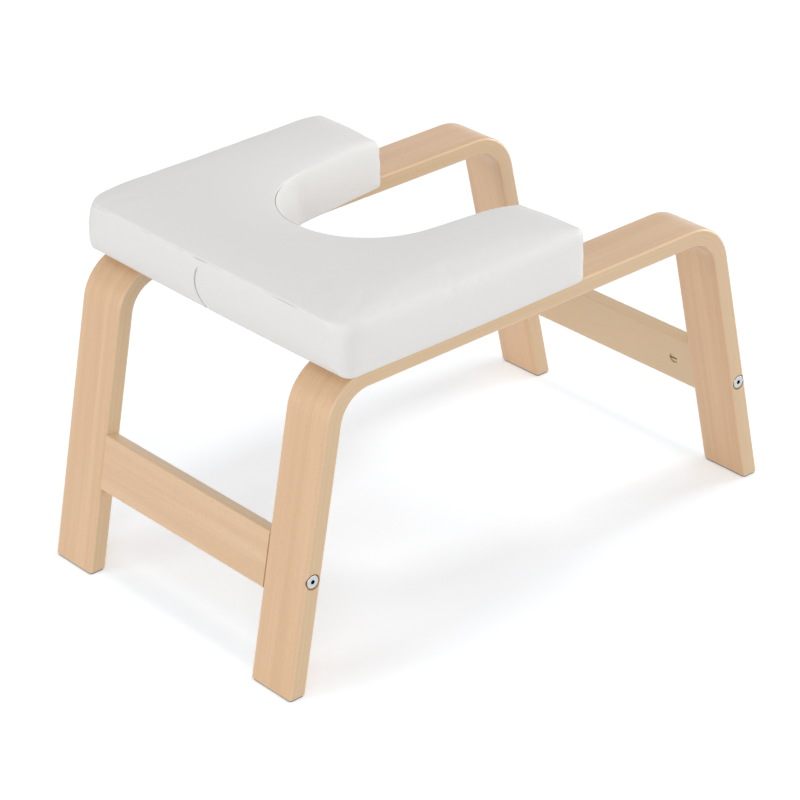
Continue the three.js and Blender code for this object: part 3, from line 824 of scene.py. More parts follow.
def fill_loop(loop, spacing):
    """Points on a triangle grid inside a closed loop of (x, y), and the triangles that fill it."""
    outline = np.array(loop)
    low, high = outline.min(axis=0), outline.max(axis=0)
    after = np.roll(outline, -1, axis=0)
    inner = []
    row_height = 0.866  # of an even triangle with sides of 1
    for row in range(int((high[1] - low[1]) / (spacing * row_height)) + 1):
        y = low[1] + row * spacing * row_height
        for column in range(int((high[0] - low[0]) / spacing) + 2):
            x = low[0] + (column + 0.5 * (row % 2)) * spacing
            crossing = (outline[:, 1] > y) != (after[:, 1] > y)
            a, b = outline[crossing], after[crossing]
            hits = a[:, 0] + (y - a[:, 1]) / (b[:, 1] - a[:, 1]) * (b[:, 0] - a[:, 0])
            if np.count_nonzero(hits > x) % 2 and from_loop(x, y, outline) > 0.62 * spacing:
                inner.append((x, y))
    points = [Vector(p) for p in [*map(tuple, loop), *inner]]
    borders = [(i, (i + 1) % len(loop)) for i in range(len(loop))]
    found = delaunay_2d_cdt(points, borders, [list(range(len(loop)))], 1, 1e-7)
    sources = [origin[0] for origin in found[3]]
    return inner, [[sources[i] for i in face] for face in found[2]]


# %% [markdown]
# ### Building the cushion's mesh
# The rows are joined by strips of quads. The top and the roof of the pocket that holds the board
# are filled with an even net of triangles, because cloth swells smoothly only where its threads are
# about the same length everywhere.


# %% The cushion's mesh
def seat_row(inset, height, plan_height):
    return [(x, y, height) for _, x, y in seat_outline(inset, plan_height)]


def quads(first, second):
    """A strip of quads between two rows. Each row is given by the number of its first point."""
    pairs = [(i, (i + 1) % RING) for i in range(RING)]
    return [(first + i, first + j, second + j, second + i) for i, j in pairs]


def new_piece(name, points, faces):
    mesh = bpy.data.meshes.new(name)
    mesh.from_pydata(points, [], faces)
    piece = bpy.data.objects.new(name, mesh)
    bpy.context.scene.collection.objects.link(piece)
    return piece


def cover_net(spacing):
    """The cover's rows from the hem to the crown, and the net that fills the top."""
    points, faces = [], []
    for row in rows:
        points += seat_row(*row)
    first = len(points) - RING
    for start in range(0, first, RING):
        faces += quads(start, start + RING)
    inner, triangles = fill_loop([(x, y) for x, y, _ in points[first:]], spacing)
    points += [(x, y, crown_height(from_loop(x, y, seam_loop))) for x, y in inner]
    faces += [tuple(first + i for i in face) for face in triangles]
    return points, faces


def pocket_net(points, spacing):
    """Adds the pocket that holds the board, and gives its faces."""
    first = len(points)
    points += seat_row(WALL_INSET, POCKET_ROOF, BOARD_BOTTOM)
    points += seat_row(WALL_INSET, HEM_BOTTOM + COVER_THICKNESS, BOARD_BOTTOM)
    points += seat_row(HEM_REACH, HEM_BOTTOM + COVER_THICKNESS, HEM_BOTTOM)
    faces = quads(first, first + RING) + quads(first + RING, first + 2 * RING) + quads(first + 2 * RING, 0)
    inner, triangles = fill_loop([(x, y) for x, y, _ in points[first : first + RING]], spacing)
    points += [(x, y, POCKET_ROOF) for x, y in inner]
    for face in triangles:
        faces.append(tuple(first + i + (2 * RING if i >= RING else 0) for i in reversed(face)))
    return faces


# %% Net of the cushion
NET_SPACING = 5 * MM
seam_loop = np.array([(x, y) for _, x, y in seat_outline(TOP_DRAW_IN, TOP_EDGE)])
points, faces = cover_net(NET_SPACING)
cover_count = len(points)
faces += pocket_net(points, 3 * NET_SPACING)
cushion = new_piece("seat_cushion", points, faces)
print("cushion:", len(points), "points,", cover_count, "of them in the cover")

# %% [markdown]
# ### Soft edges and crisp ones
# Along the arms the top sheet is pulled down over the foam, and the edge is soft. At the closed end
# and round the neck two sheets are sewn together, and the edge stays crisp. Each point of the cover
# gets its distance from the seam and a crispness. Where the edge is soft, its section becomes a
# full round from the side to the top, and the corners and the arms' ends sag a little, as foam does
# where nothing holds it up. A few rounds of smoothing even out the rest.

# %% Where each point lies on the cover
CRISPNESS = {
    "closed_end": 0.9,
    "closed_corner": 0.7,
    "long_side": 0.0,
    "open_corner": 0.6,
    "arm_end": 0.85,
    "tip_corner": 0.3,
    "arm_wall": 0.3,
    "neck": 0.95,
}


def blurred(values, times):
    """Evens out values that go round the outline."""
    for _ in range(times):
        values = (np.roll(values, 1) + values + np.roll(values, -1)) / 3
    return values


def mesh_points(piece):
    co = np.empty(3 * len(piece.data.vertices))
    piece.data.vertices.foreach_get("co", co)
    return co.reshape(-1, 3)


def put_points(piece, co):
    piece.data.vertices.foreach_set("co", np.ascontiguousarray(co).ravel())
    piece.data.update()


def mesh_normals(piece):
    return np.array([v.normal[:] for v in piece.data.vertices])


# %% Distance from the seam
crisp = blurred(np.array([CRISPNESS[part] for part in OUTLINE_PARTS]), 16)
FAR_INSIDE = -60 * MM
start_points = mesh_points(cushion)
row_count = len(rows) * RING
station = np.zeros(len(start_points), dtype=int)
from_seam = np.full(len(start_points), FAR_INSIDE)
section = start_points[:row_count].reshape(len(rows), RING, 3)
lengths = np.linalg.norm(np.diff(section, axis=0), axis=2)
run = np.concatenate((np.zeros((1, RING)), np.cumsum(lengths, axis=0)))
run -= run[seam_row]
from_seam[:row_count] = run.ravel()
station[:row_count] = np.tile(np.arange(RING), len(rows))
for i in range(row_count, cover_count):
    apart = np.hypot(*(seam_loop - start_points[i, :2]).T)
    station[i] = int(apart.argmin())
    from_seam[i] = apart.min() + 2 * MM
on_cover = np.arange(len(start_points)) < cover_count
steps = np.hypot(*(np.roll(seam_loop, -1, axis=0) - seam_loop).T)
print("seam length, mm:", round(float(steps.sum()) / MM))


# %% Soften the edges that aren't sewn
def smooth_step(values):
    values = np.clip(values, 0, 1)
    return values * values * (3 - 2 * values)


def neighbours(piece):
    edges = np.array([e.vertices[:] for e in piece.data.edges])
    return np.concatenate((edges, edges[:, ::-1]))


def smoothed(co, links, weight, times):
    count = np.bincount(links[:, 0], minlength=len(co))[:, None]
    for _ in range(times):
        total = np.zeros_like(co)
        np.add.at(total, links[:, 0], co[links[:, 1]])
        co = co + weight[:, None] * (total / count - co)
    return co


# %% Round section of the soft edges
ROUND_START = TOP_EDGE - 14 * MM
ROUND_REACH = 42 * MM
ROUNDNESS = 2.7
END_SAG, TIP_SAG, CORNER_SAG = 2.6 * MM, 2.8 * MM, 2.2 * MM
SAG_WIDTH, SAG_START, END_SAG_LENGTH = 26 * MM, 20 * MM, 36 * MM


def rounded(heights, reaches):
    """The soft section: its height above each reach, and its reach at each height."""
    tall = CROWN_TOP - ROUND_START
    s = np.clip(reaches / ROUND_REACH, 0, 1)
    t = np.clip((heights - ROUND_START) / tall, 0, 1)
    above = ROUND_START + tall * (1 - (1 - s) ** ROUNDNESS) ** (1 / ROUNDNESS)
    return above, ROUND_REACH * (1 - (1 - t**ROUNDNESS) ** (1 / ROUNDNESS))


def round_edges(co):
    """The cover's points with its soft edges turned into full rounds."""
    way = np.roll(seam_loop, -1, axis=0) - np.roll(seam_loop, 1, axis=0)
    outwards = np.stack((way[:, 1], -way[:, 0]), axis=1) / np.linalg.norm(way, axis=1, keepdims=True)
    sharp_inset = np.array([side_inset(max(z - HEM_BOTTOM, 0)) for z in co[:, 2]])
    seam_reach = rounded(TOP_EDGE, 0)[1]
    above, reach = rounded(co[:, 2], np.clip(from_seam, 0, None) + seam_reach)
    seam_side = 0.8 * MM
    on_side = (from_seam <= seam_side) & (co[:, 2] > ROUND_START)
    on_top = (from_seam > seam_side) & on_cover
    drawn_in = (seam_reach - TOP_DRAW_IN) * np.clip(1 - from_seam / (30 * MM), 0, 1)
    turned = co.copy()
    turned[:, :2] -= outwards[station] * ((reach - sharp_inset) * soft * on_side)[:, None]
    turned[:, :2] -= outwards[station] * (drawn_in * soft * on_top)[:, None]
    turned[:, 2] += (above - co[:, 2]) * soft * on_top
    return turned


# %% Sagging corners
def near_corner(part, co):
    """1 at one kind of corner, fading to 0 round it."""
    corner = np.array([seam_loop[i] for i, kind in enumerate(OUTLINE_PARTS) if kind == part])
    centre = corner[corner[:, 1] > 0].mean(axis=0)
    apart = np.hypot(co[:, 0] - centre[0], np.abs(co[:, 1]) - centre[1])
    return np.exp(-((apart / SAG_WIDTH) ** 2))


def sag(co):
    """How far each point sinks where nothing holds the foam up."""
    high_up = np.clip((co[:, 2] - HEM_BOTTOM - SAG_START) / (SIDE_HEIGHT - SAG_START), 0, 1) * on_cover
    sunk = END_SAG * smooth_step((co[:, 0] - SEAT_OPEN_X + END_SAG_LENGTH) / END_SAG_LENGTH)
    sunk += TIP_SAG * near_corner("tip_corner", co) + CORNER_SAG * near_corner("closed_corner", co)
    return sunk * high_up


soft = (1 - crisp[station]) * on_cover
soft_points = round_edges(start_points)
soft_points[:, 2] -= sag(start_points)
links = neighbours(cushion)
by_seam = 0.5 * np.clip(1 - np.abs(from_seam - 1 * MM) / (14 * MM), 0, 1) * np.clip(2 * soft, 0, 1)
soft_points = smoothed(soft_points, links, by_seam, 8)
inner_top = 0.6 * np.clip((from_seam - 6 * MM) / (8 * MM), 0, 1) * on_cover
soft_points = smoothed(soft_points, links, inner_top, 12)
put_points(cushion, soft_points)
print("edges softened by up to", round(np.abs(soft_points - start_points).max() / MM, 1), "mm")

# %% [markdown]
# ### Swelling the cover
# Foam presses its cover outwards between the seams. The Cloth simulation does the same: it starts
# from a slightly smaller shape, the hem, the board's pocket and the sewn edges are pinned, and
# pressure from inside swells the rest for twenty frames, with gravity off. No point may move more
# than a few millimetres, because tight foam hardly lets its cover bulge.

# %% Cloth simulation
SWELL_CAP = 2.4 * MM
START_SMALLER = 1.1 * MM
SWELL_FRAMES = 20
HELD_BY_SEAM, HELD_BY_HEM = 2.5 * MM, 2.5 * MM
FREE_OF_SEAM, FREE_OF_HEM = 16 * MM, 14 * MM
CLOTH_SETTINGS = {
    "quality": 6,
    "mass": 0.3,
    "tension_stiffness": 15,
    "compression_stiffness": 15,
    "bending_stiffness": 0.6,
    "vertex_group_mass": "held",
    "use_pressure": True,
    "uniform_pressure_force": 4,
}


def swell(piece, held, shrink, cap):
    """Lets pressure swell a copy of a piece from a smaller shape, and gives its points' new places."""
    trial = copy_of(piece, "swelling")
    start = mesh_points(trial) - mesh_normals(trial) * shrink[:, None]
    put_points(trial, start)
    group = trial.vertex_groups.new(name="held")
    for i, hold in enumerate(held):
        if hold > 0:
            group.add([i], float(hold), "REPLACE")
    cloth = trial.modifiers.new("cloth", "CLOTH")
    for name, value in CLOTH_SETTINGS.items():
        setattr(cloth.settings, name, value)
    cloth.settings.effector_weights.gravity = 0
    cloth.collision_settings.use_collision = False
    for frame_number in range(1, SWELL_FRAMES + 1):
        bpy.context.scene.frame_set(frame_number)
    moves = mesh_points(trial.evaluated_get(bpy.context.evaluated_depsgraph_get())) - start
    bpy.context.scene.frame_set(1)
    bpy.data.objects.remove(trial)
    size = np.linalg.norm(moves, axis=1, keepdims=True)
    return start + moves * (cap * np.tanh(size / cap) / np.maximum(size, 1e-9))


# %% Swell the cover
rise = start_points[:, 2] - HEM_BOTTOM
hold = np.clip(1.2 - np.abs(from_seam) / HELD_BY_SEAM, 0, 1) * (0.25 + 0.75 * crisp[station])
hold[(rise < HELD_BY_HEM) | ~on_cover] = 1
loose = smooth_step(np.abs(from_seam) / FREE_OF_SEAM) * smooth_step(rise / FREE_OF_HEM) * on_cover
before = mesh_points(cushion)
after = swell(cushion, hold, START_SMALLER * loose, SWELL_CAP)
after[cover_count:] = before[cover_count:]
put_points(cushion, after)
proud = ((after - before) * mesh_normals(cushion)).sum(axis=1) / MM
side = (np.abs(from_seam + 25 * MM) < 10 * MM) & on_cover
top = from_seam > 25 * MM
print("the cover stands out by", round(float(proud[side].mean()), 2), "mm on the sides,")
print(round(float(proud[top].mean()), 2), "mm on top, at most", round(float(proud.max()), 2))

# %% [markdown]
# ### Seams
# The seams come after the simulation. One subdivision makes the net fine enough, and the groove is
# then pressed in along the normals. Round the neck's closed end it runs unbroken. At the stool's
# closed end the two sheets close over the stitches nearly everywhere, and the groove opens only in
# a few short stretches. The distances from both seams stay on the mesh as attributes, and by them
# the leather paints a dark line of shade along the open stretches.

# %% How far the seam gapes
# From y to y in millimetres, and how far the seam gapes between them.
OPEN_STRETCHES = [
    (-128, -95, 0.9),
    (-88, -83, 0.4),
    (-22, -4, 0.3),
    (-4, 18, 1.0),
    (31, 40, 0.45),
    (79, 94, 0.4),
    (145, 170, 0.4),
    (171, 176, 0.8),
]


def neck_angle(x, y):
    """The angle round the neck in degrees, 0 at its closed end."""
    return math.degrees(math.atan2(y, NECK_CENTRE_X - x))


def seam_opening(part, x, y):
    """How far a seam gapes at a place on the outline, from 0 to 1."""
    if part == "neck":
        angle = neck_angle(x, y)
        return share((66 - angle) / 20) * share((angle + 12) / 12) * (1.1 + 0.15 * math.cos(angle / 6.4))
    if part in ("closed_end", "closed_corner") and x < SEAT_CLOSED_X + 10 * MM:
        for low, high, gape in OPEN_STRETCHES:
            if low * MM < y < high * MM:
                return 0.55 * gape * (0.5 + 0.5 * math.sin(math.pi * (y / MM - low) / (high - low)))
    return 0.0


def rolled_over(x, y):
    """How far the top sheet rolls over the neck's seam, before it is evened out."""
    angle = neck_angle(x, y)
    return float(-20 < angle < 38) + 1.2 * float(-20 < angle < 16)


def press(piece, depth):
    """Moves each point in along its normal."""
    put_points(piece, mesh_points(piece) - mesh_normals(piece) * depth[:, None])


def add_values(piece, name, values):
    made = piece.data.attributes.new(name, "FLOAT", "POINT")
    made.data.foreach_set("value", np.ascontiguousarray(values, dtype=np.float32))


def read_values(piece, name):
    values = np.empty(len(piece.data.vertices), dtype=np.float32)
    piece.data.attributes[name].data.foreach_get("value", values)
    return values


# %% Press the seam in
opening = np.array([seam_opening(*place) for place in seam_outline])
on_neck = blurred(np.array([float(part == "neck") for part in OUTLINE_PARTS]), 3)
rolled = blurred(np.array([rolled_over(x, y) for _, x, y in seam_outline]), 8)
add_values(cushion, "from_seam", from_seam - (1.2 + 1.0 * rolled[station]) * MM * on_neck[station])
add_values(cushion, "seam_open", opening[station])
modify(cushion, "SUBSURF", levels=1, render_levels=1)

GROOVE_DEPTH, GROOVE_WIDTH = 0.7 * MM, 0.7 * MM
LIP_HEIGHT, LIP_WIDTH, LIP_PLACE = 0.15 * MM, 1.1 * MM, 1.9 * MM
gap = read_values(cushion, "from_seam")
strength = read_values(cushion, "seam_open")
groove = GROOVE_DEPTH * strength * np.exp(-((gap / GROOVE_WIDTH) ** 2))
lips = LIP_HEIGHT * strength * np.exp(-(((np.abs(gap) - LIP_PLACE) / LIP_WIDTH) ** 2))
press(cushion, groove - lips)
print("seam pressed in by up to", round(float(groove.max()) / MM, 2), "mm;", len(gap), "points")

# %% The seam that closes the cover
# Places down the seam, in millimetres.
CLOSING_SEAM_Y = [8.2, 10.2, 12.0, 13.0, 13.2, 12.4, 10.8, 9.0, 7.6, 6.2]
CLOSING_SEAM_Z = [348, 344, 339.6, 334.5, 328.6, 323.2, 318.1, 312.7, 309.9, 308.4]
CLOSING_DEPTH, CLOSING_WIDTH = 0.4 * MM, 1.6 * MM
seam_y, seam_z = np.array([CLOSING_SEAM_Y, CLOSING_SEAM_Z]) * MM
curve = np.polyfit(seam_z, seam_y, 4)
co = mesh_points(cushion)
beside = co[:, 1] - np.polyval(curve, np.clip(co[:, 2], seam_z[-1], seam_z[0]))
open_here = np.clip((seam_z[0] - co[:, 2]) / (5 * MM), 0, 1)
open_here[co[:, 0] > SEAT_CLOSED_X + 20 * MM] = 0
press(cushion, CLOSING_DEPTH * open_here * np.exp(-((beside / CLOSING_WIDTH) ** 2)))
add_values(cushion, "beside_closing_seam", beside)
add_values(cushion, "closing_seam_open", open_here)
cushion.name = cushion.data.name = "seat_cushion"
outward(cushion)
pick(cushion)
bpy.ops.object.shade_smooth()
stands_for(cushion, "cover_leather", "seat_foam", "cover_band", "cover_top")

# %% [markdown]
# ## Bottom cloth
# A dark spun cloth is stretched over the board's underside and covers the cover's hem. It is cut to
# the same U as the seat, a little smaller, so its outline is a row of the cover too. Both of its
# faces are the same net of triangles, joined by a narrow rim.

# %% Bottom cloth
CLOTH_INSET = 14 * MM
RIPPLE, RIPPLE_SCALE, RIPPLE_LEVEL = 0.15 * MM, 22, 0.7
cloth_low, cloth_high = (corner.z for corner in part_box("bottom_cloth"))


def ripple(x, y):
    return noise.noise(Vector((x * RIPPLE_SCALE, y * RIPPLE_SCALE, RIPPLE_LEVEL))) * RIPPLE


loop = seat_row(CLOTH_INSET, 0, cloth_low)
inner, triangles = fill_loop([(x, y) for x, y, _ in loop], 9 * MM)
points = []
for level, lift in ((cloth_low, RIPPLE), (cloth_high, 0)):
    points += [(x, y, level) for x, y, _ in loop]
    points += [(x, y, level + ripple(x, y) + lift) for x, y in inner]
count = len(loop) + len(inner)
faces = [tuple(reversed(face)) for face in triangles]
faces += [tuple(count + i for i in face) for face in triangles]
cloth = new_piece("underside_cloth", points, faces + quads(0, count))
cut_with(cloth, [seat_drill(label, cloth_low - PAST, cloth_high + PAST) for label in CORNERS])
outward(cloth)
pick(cloth)
bpy.ops.object.shade_smooth_by_angle(angle=math.radians(50))
stands_for(cloth, "lining_cloth", "bottom_cloth")

# %% [markdown]
# ## Finishes
# Every finish is mixed from nodes, with no pictures. A finish is easier to follow when its parts
# have names, so each effect is a node group: a small recipe that gives back a pattern, and leaves
# the shader to the material.


# %% A bench for mixing finishes
def feed(tree, node, inputs):
    """Fills sockets, by name or number, with a value or with another node's output."""
    for name, value in inputs.items():
        if isinstance(value, bpy.types.NodeSocket):
            tree.links.new(value, node.inputs[name])
        else:
            node.inputs[name].default_value = value


def add_node(tree, kind, inputs=None, **settings):
    made = tree.nodes.new(kind)
    for name, value in settings.items():
        setattr(made, name, value)
    feed(tree, made, inputs or {})
    return made


def object_place(tree):
    return add_node(tree, "ShaderNodeTexCoord").outputs["Object"]


def stored(tree, name, output="Fac"):
    """What a mesh keeps under a name."""
    return add_node(tree, "ShaderNodeAttribute", attribute_name=name).outputs[output]


# %% Sums, masks and patterns
def calc(tree, operation, *values):
    return add_node(tree, "ShaderNodeMath", dict(enumerate(values)), operation=operation).outputs[0]


def stretch(tree, vector, scale):
    inputs = {0: vector, 1: scale}
    return add_node(tree, "ShaderNodeVectorMath", inputs, operation="MULTIPLY").outputs[0]


def ease(tree, value, low, high, to_low=0.0, to_high=1.0):
    """A smooth step from low to high."""
    inputs = {"Value": value, "From Min": low, "From Max": high, "To Min": to_low, "To Max": to_high}
    return add_node(tree, "ShaderNodeMapRange", inputs, interpolation_type="SMOOTHSTEP").outputs["Result"]


def cloudy(tree, vector, scale=1.0, detail=3.0, roughness=0.55, distortion=0.0):
    inputs = {"Vector": vector, "Scale": scale, "Detail": detail}
    inputs |= {"Roughness": roughness, "Distortion": distortion}
    return add_node(tree, "ShaderNodeTexNoise", inputs).outputs["Fac"]


def blend_colours(tree, factor, first, second):
    return add_node(tree, "ShaderNodeMix", {0: factor, 6: first, 7: second}, data_type="RGBA").outputs[2]


def split(tree, vector):
    return add_node(tree, "ShaderNodeSeparateXYZ", {0: vector}).outputs


def join(tree, x, y, z):
    return add_node(tree, "ShaderNodeCombineXYZ", {0: x, 1: y, 2: z}).outputs[0]


# %% Effects, colours and materials
def effect(name, outputs):
    """A node group that turns a place into masks: its tree, the place and its output node."""
    tree = bpy.data.node_groups.new(name, "ShaderNodeTree")
    tree.interface.new_socket("Place", in_out="INPUT", socket_type="NodeSocketVector")
    for socket in outputs:
        tree.interface.new_socket(socket, in_out="OUTPUT", socket_type="NodeSocketFloat")
    place = tree.nodes.new("NodeGroupInput").outputs["Place"]
    return tree, place, tree.nodes.new("NodeGroupOutput")


def use(tree, group, place):
    return add_node(tree, "ShaderNodeGroup", {"Place": place}, node_tree=group).outputs


def colour(red, green, blue):
    """A colour as a screen shows it, from 0 to 255, turned into the linear values that shaders use."""

    def linear(level):
        level = level / 255
        return level / 12.92 if level <= 0.04045 else ((level + 0.055) / 1.055) ** 2.4

    return linear(red), linear(green), linear(blue), 1


def new_finish(name, base, roughness, metallic=0.0):
    """A material with its shader set. Gives the material, its tree and the shader."""
    material = bpy.data.materials.new(name)
    material.use_nodes = True
    tree = material.node_tree
    shader = tree.nodes["Principled BSDF"]
    feed(tree, shader, {"Base Color": base, "Roughness": roughness, "Metallic": metallic})
    return material, tree, shader


def give(piece, material):
    piece.data.materials.clear()
    piece.data.materials.append(material)


def bump(tree, shader, height, distance, strength):
    inputs = {"Height": height, "Distance": distance, "Strength": strength}
    feed(tree, shader, {"Normal": add_node(tree, "ShaderNodeBump", inputs).outputs[0]})


# %% [markdown]
# ### Beech
# Beech is pale and even, with long soft streaks and many short darker flecks. The pattern is noise
# squeezed across the grain, so it draws out along it. The veneer group cuts the depth of the strip
# into layers, gives each its own tone, and draws the thin dark glue line between two of them.

# %% Beech grain
grain_group, place, out = effect("beech_grain", ("Streaks", "Figure", "Flecks"))
fine = cloudy(grain_group, stretch(grain_group, place, (7, 620, 620)), detail=4, roughness=0.62)
broad = cloudy(grain_group, stretch(grain_group, place, (1.6, 46, 46)), distortion=0.7)
dashes = cloudy(grain_group, stretch(grain_group, place, (190, 1500, 1500)), detail=1.5, roughness=0.4)
flecks = ease(grain_group, dashes, 0.60, 0.72)
feed(grain_group, out, {"Streaks": fine, "Figure": broad, "Flecks": flecks})
print("beech grain:", len(grain_group.nodes), "nodes")

# %% Veneer layers
VENEER = 1.5 * MM
veneer_group, place, out = effect("veneer_layers", ("Tone", "Glue"))
tree = veneer_group
wander = cloudy(tree, stretch(tree, place, (14, 14, 14)), detail=1)
bent = calc(tree, "MULTIPLY_ADD", calc(tree, "SUBTRACT", wander, 0.5), 0.35, 0.5)
layer = calc(tree, "MULTIPLY_ADD", split(tree, place)["Z"], 1 / VENEER, bent)
number = {"W": calc(tree, "FLOOR", layer)}
tone = add_node(tree, "ShaderNodeTexWhiteNoise", number, noise_dimensions="1D").outputs["Value"]
edge = calc(tree, "ABSOLUTE", calc(tree, "SUBTRACT", calc(tree, "FRACT", layer), 0.5))
feed(tree, out, {"Tone": tone, "Glue": ease(tree, edge, 0.42, 0.48)})
print("veneers in one strip:", round(STRIP_THICKNESS / VENEER))

# %% Beech plywood
# The last of these colours is a painted highlight for the rounded edges.
FLECK, GLUE, EDGE_HIGHLIGHT = colour(176, 132, 96), colour(150, 122, 90), colour(235, 206, 173)


def from_lay(tree):
    return stored(tree, "lay", "Vector")


def from_object(order):
    """Board coordinates from the object's own. order names the axes along, across and deep."""
    return lambda tree: join(tree, *(split(tree, object_place(tree))[axis] for axis in order))


def beech_ply(name, pale, deep, edge_tone, place_from, coat=0.55, edge_highlight=0.0):
    """place_from(tree) gives flat-board coordinates. The last argument is how strongly a painted highlight
    lightens the rounded edges.
    """
    pale, deep, edge_tone = colour(*pale), colour(*deep), colour(*edge_tone)
    material, tree, shader = new_finish(name, pale, 0.42)

    def over(below, above, mask, share=1):
        """Lays one tone over another where the mask says, by a share."""
        return blend_colours(tree, calc(tree, "MULTIPLY", mask, share), below, above)

    place = place_from(tree)
    grain, layers = use(tree, grain_group, place), use(tree, veneer_group, place)
    streaks = ease(tree, grain["Streaks"], 0.34, 0.70)
    face = over(pale, deep, ease(tree, grain["Figure"], 0.36, 0.66), 0.55)
    face = over(over(face, deep, streaks, 0.30), FLECK, grain["Flecks"], 0.30)
    ply = over(edge_tone, blend_colours(tree, 0.25, edge_tone, deep), layers["Tone"])
    ply = over(over(ply, deep, streaks, 0.25), GLUE, layers["Glue"], 0.28)
    height = split(tree, place)["Z"]
    depth = calc(tree, "MINIMUM", height, calc(tree, "SUBTRACT", STRIP_THICKNESS, height))
    tone = over(face, ply, ease(tree, depth, 0.6 * MM, 2.2 * MM))
    # Painted highlight: a pale band along the rounded edges between the wide faces and the ply edges.
    rim = ease(tree, depth, 2.0 * MM, 3.2 * MM, edge_highlight, 0.0)
    tone = over(tone, EDGE_HIGHLIGHT, calc(tree, "MULTIPLY", ease(tree, depth, 0.1 * MM, 0.9 * MM), rim))
    rough = calc(tree, "MULTIPLY_ADD", grain["Streaks"], 0.16, 0.34)
    feed(tree, shader, {"Base Color": tone, "Roughness": rough})
    feed(tree, shader, {"Coat Weight": coat, "Coat Roughness": 0.3})
    bump(tree, shader, calc(tree, "ADD", streaks, grain["Flecks"]), 0.03 * MM, 0.6)
    return material


# %% Four kinds of beech
EDGE = (214, 187, 149)
frame_beech = beech_ply(
    "lacquered_beech_strip", (221, 184, 145), (206, 165, 123), EDGE, from_lay, edge_highlight=0.3
)
bar_beech = beech_ply("lacquered_beech_bar", (221, 187, 149), (208, 169, 129), EDGE, from_lay)
board_beech = beech_ply(
    "raw_seat_board", (205, 178, 140), (184, 150, 110), (200, 176, 140), from_object("XYZ"), 0
)
dowel_beech = beech_ply(
    "raw_dowel_beech", (220, 190, 145), (200, 165, 120), (218, 188, 142), from_object("YXZ"), 0
)
for strip in side_frames.values():
    give(strip, frame_beech)
for end_name in ENDS:
    give(bpy.data.objects[f"{end_name}_tie_bar"], bar_beech)
print("beech finishes mixed")

# %% [markdown]
# ### White leather, steel, felt and lining
# Synthetic leather is a smooth sheet with a shallow pressed grain: rounded cells a millimetre wide.
# A bump gives the grain. Its colour is even but for painted shade: a little in the grain's valleys,
# and a dark line along the open seams. The zinc plate of the bolts is a bright metal whose roughness
# drifts a little, with painted shade deep in sockets and slots; the barrel nuts get a warmer, dimmer
# copy, painted with the shade and reflection of the wood round them. Felt and lining cloth are matt,
# with a fine cloud of fibres.

# %% Pressed grain
leather_group, place, out = effect("pressed_grain", ("Height", "Drift"))
tree = leather_group
warp = cloudy(tree, place, scale=420, detail=2)
shift = {0: place, 1: stretch(tree, join(tree, warp, warp, warp), (0.0016, 0.0016, 0.0016))}
warped = add_node(tree, "ShaderNodeVectorMath", shift, operation="ADD").outputs[0]
cells = add_node(
    tree, "ShaderNodeTexVoronoi", {"Vector": warped, "Scale": 950.0}, feature="DISTANCE_TO_EDGE"
)
height = ease(tree, cells.outputs["Distance"], 0.02, 0.28)
feed(tree, out, {"Height": height, "Drift": cloudy(tree, place, scale=26)})
print("pressed grain:", len(leather_group.nodes), "nodes")

# %% White leather
WHITE, GRAIN_SHADE, SEAM_SHADE = colour(229, 228, 226), colour(196, 194, 190), colour(112, 108, 102)
white_leather, tree, shader = new_finish("white_synthetic_leather", WHITE, 0.52)
grain = use(tree, leather_group, object_place(tree))


def seam_line(distance_name, open_name, half_width):
    """1 on a seam's line where the seam is open."""
    away = calc(tree, "ABSOLUTE", stored(tree, distance_name))
    line = ease(tree, away, 0.35 * half_width, half_width, 1.0, 0.0)
    return calc(tree, "MULTIPLY", line, stored(tree, open_name))


edge_line = seam_line("from_seam", "seam_open", 0.95 * MM)
closing_line = seam_line("beside_closing_seam", "closing_seam_open", 1.5 * MM)
lines = calc(tree, "MAXIMUM", edge_line, closing_line)
# Painted shade: the grain's valleys are blended a little towards a darker grey.
tone = blend_colours(tree, calc(tree, "MULTIPLY_ADD", grain["Height"], -0.10, 0.10), WHITE, GRAIN_SHADE)
# Painted shade: a dark line along each open seam, where the groove's shade falls.
tone = blend_colours(tree, calc(tree, "MULTIPLY", lines, 0.6), tone, SEAM_SHADE)
rough = calc(tree, "MULTIPLY_ADD", grain["Drift"], 0.22, 0.42)
feed(tree, shader, {"Base Color": tone, "Roughness": rough})
bump(tree, shader, calc(tree, "MULTIPLY_ADD", lines, -6.0, grain["Height"]), 0.05 * MM, 0.5)
give(cushion, white_leather)
print("white leather:", len(tree.nodes), "nodes")


# %% Zinc plate
def zinc_plate(name, bright):
    material, tree, shader = new_finish(name, bright, 0.26, metallic=1.0)
    drift = cloudy(tree, object_place(tree), scale=600)
    # Painted shade: faces marked as recess are blended towards a dark brown grey.
    tone = blend_colours(tree, stored(tree, "recess"), bright, colour(34, 31, 26))
    feed(tree, shader, {"Base Color": tone, "Roughness": calc(tree, "MULTIPLY_ADD", drift, 0.24, 0.16)})
    bump(tree, shader, drift, 0.02 * MM, 0.3)
    return material


zinc = zinc_plate("bright_zinc_plate", colour(202, 203, 203))
# A second copy of the zinc for the barrel nuts, warmer and dimmer: painted shade and a painted reflection
# of the wood round them.
shaded_nut_zinc = zinc_plate("zinc_plate_painted_with_wood_shade", colour(190, 172, 144))
print("zinc plate:", zinc.name, "and", shaded_nut_zinc.name)

# %% Felt and lining cloth
fibre_group, place, out = effect("fibres", ("Fuzz",))
feed(fibre_group, out, {"Fuzz": cloudy(fibre_group, place, scale=2600, detail=4, roughness=0.7)})


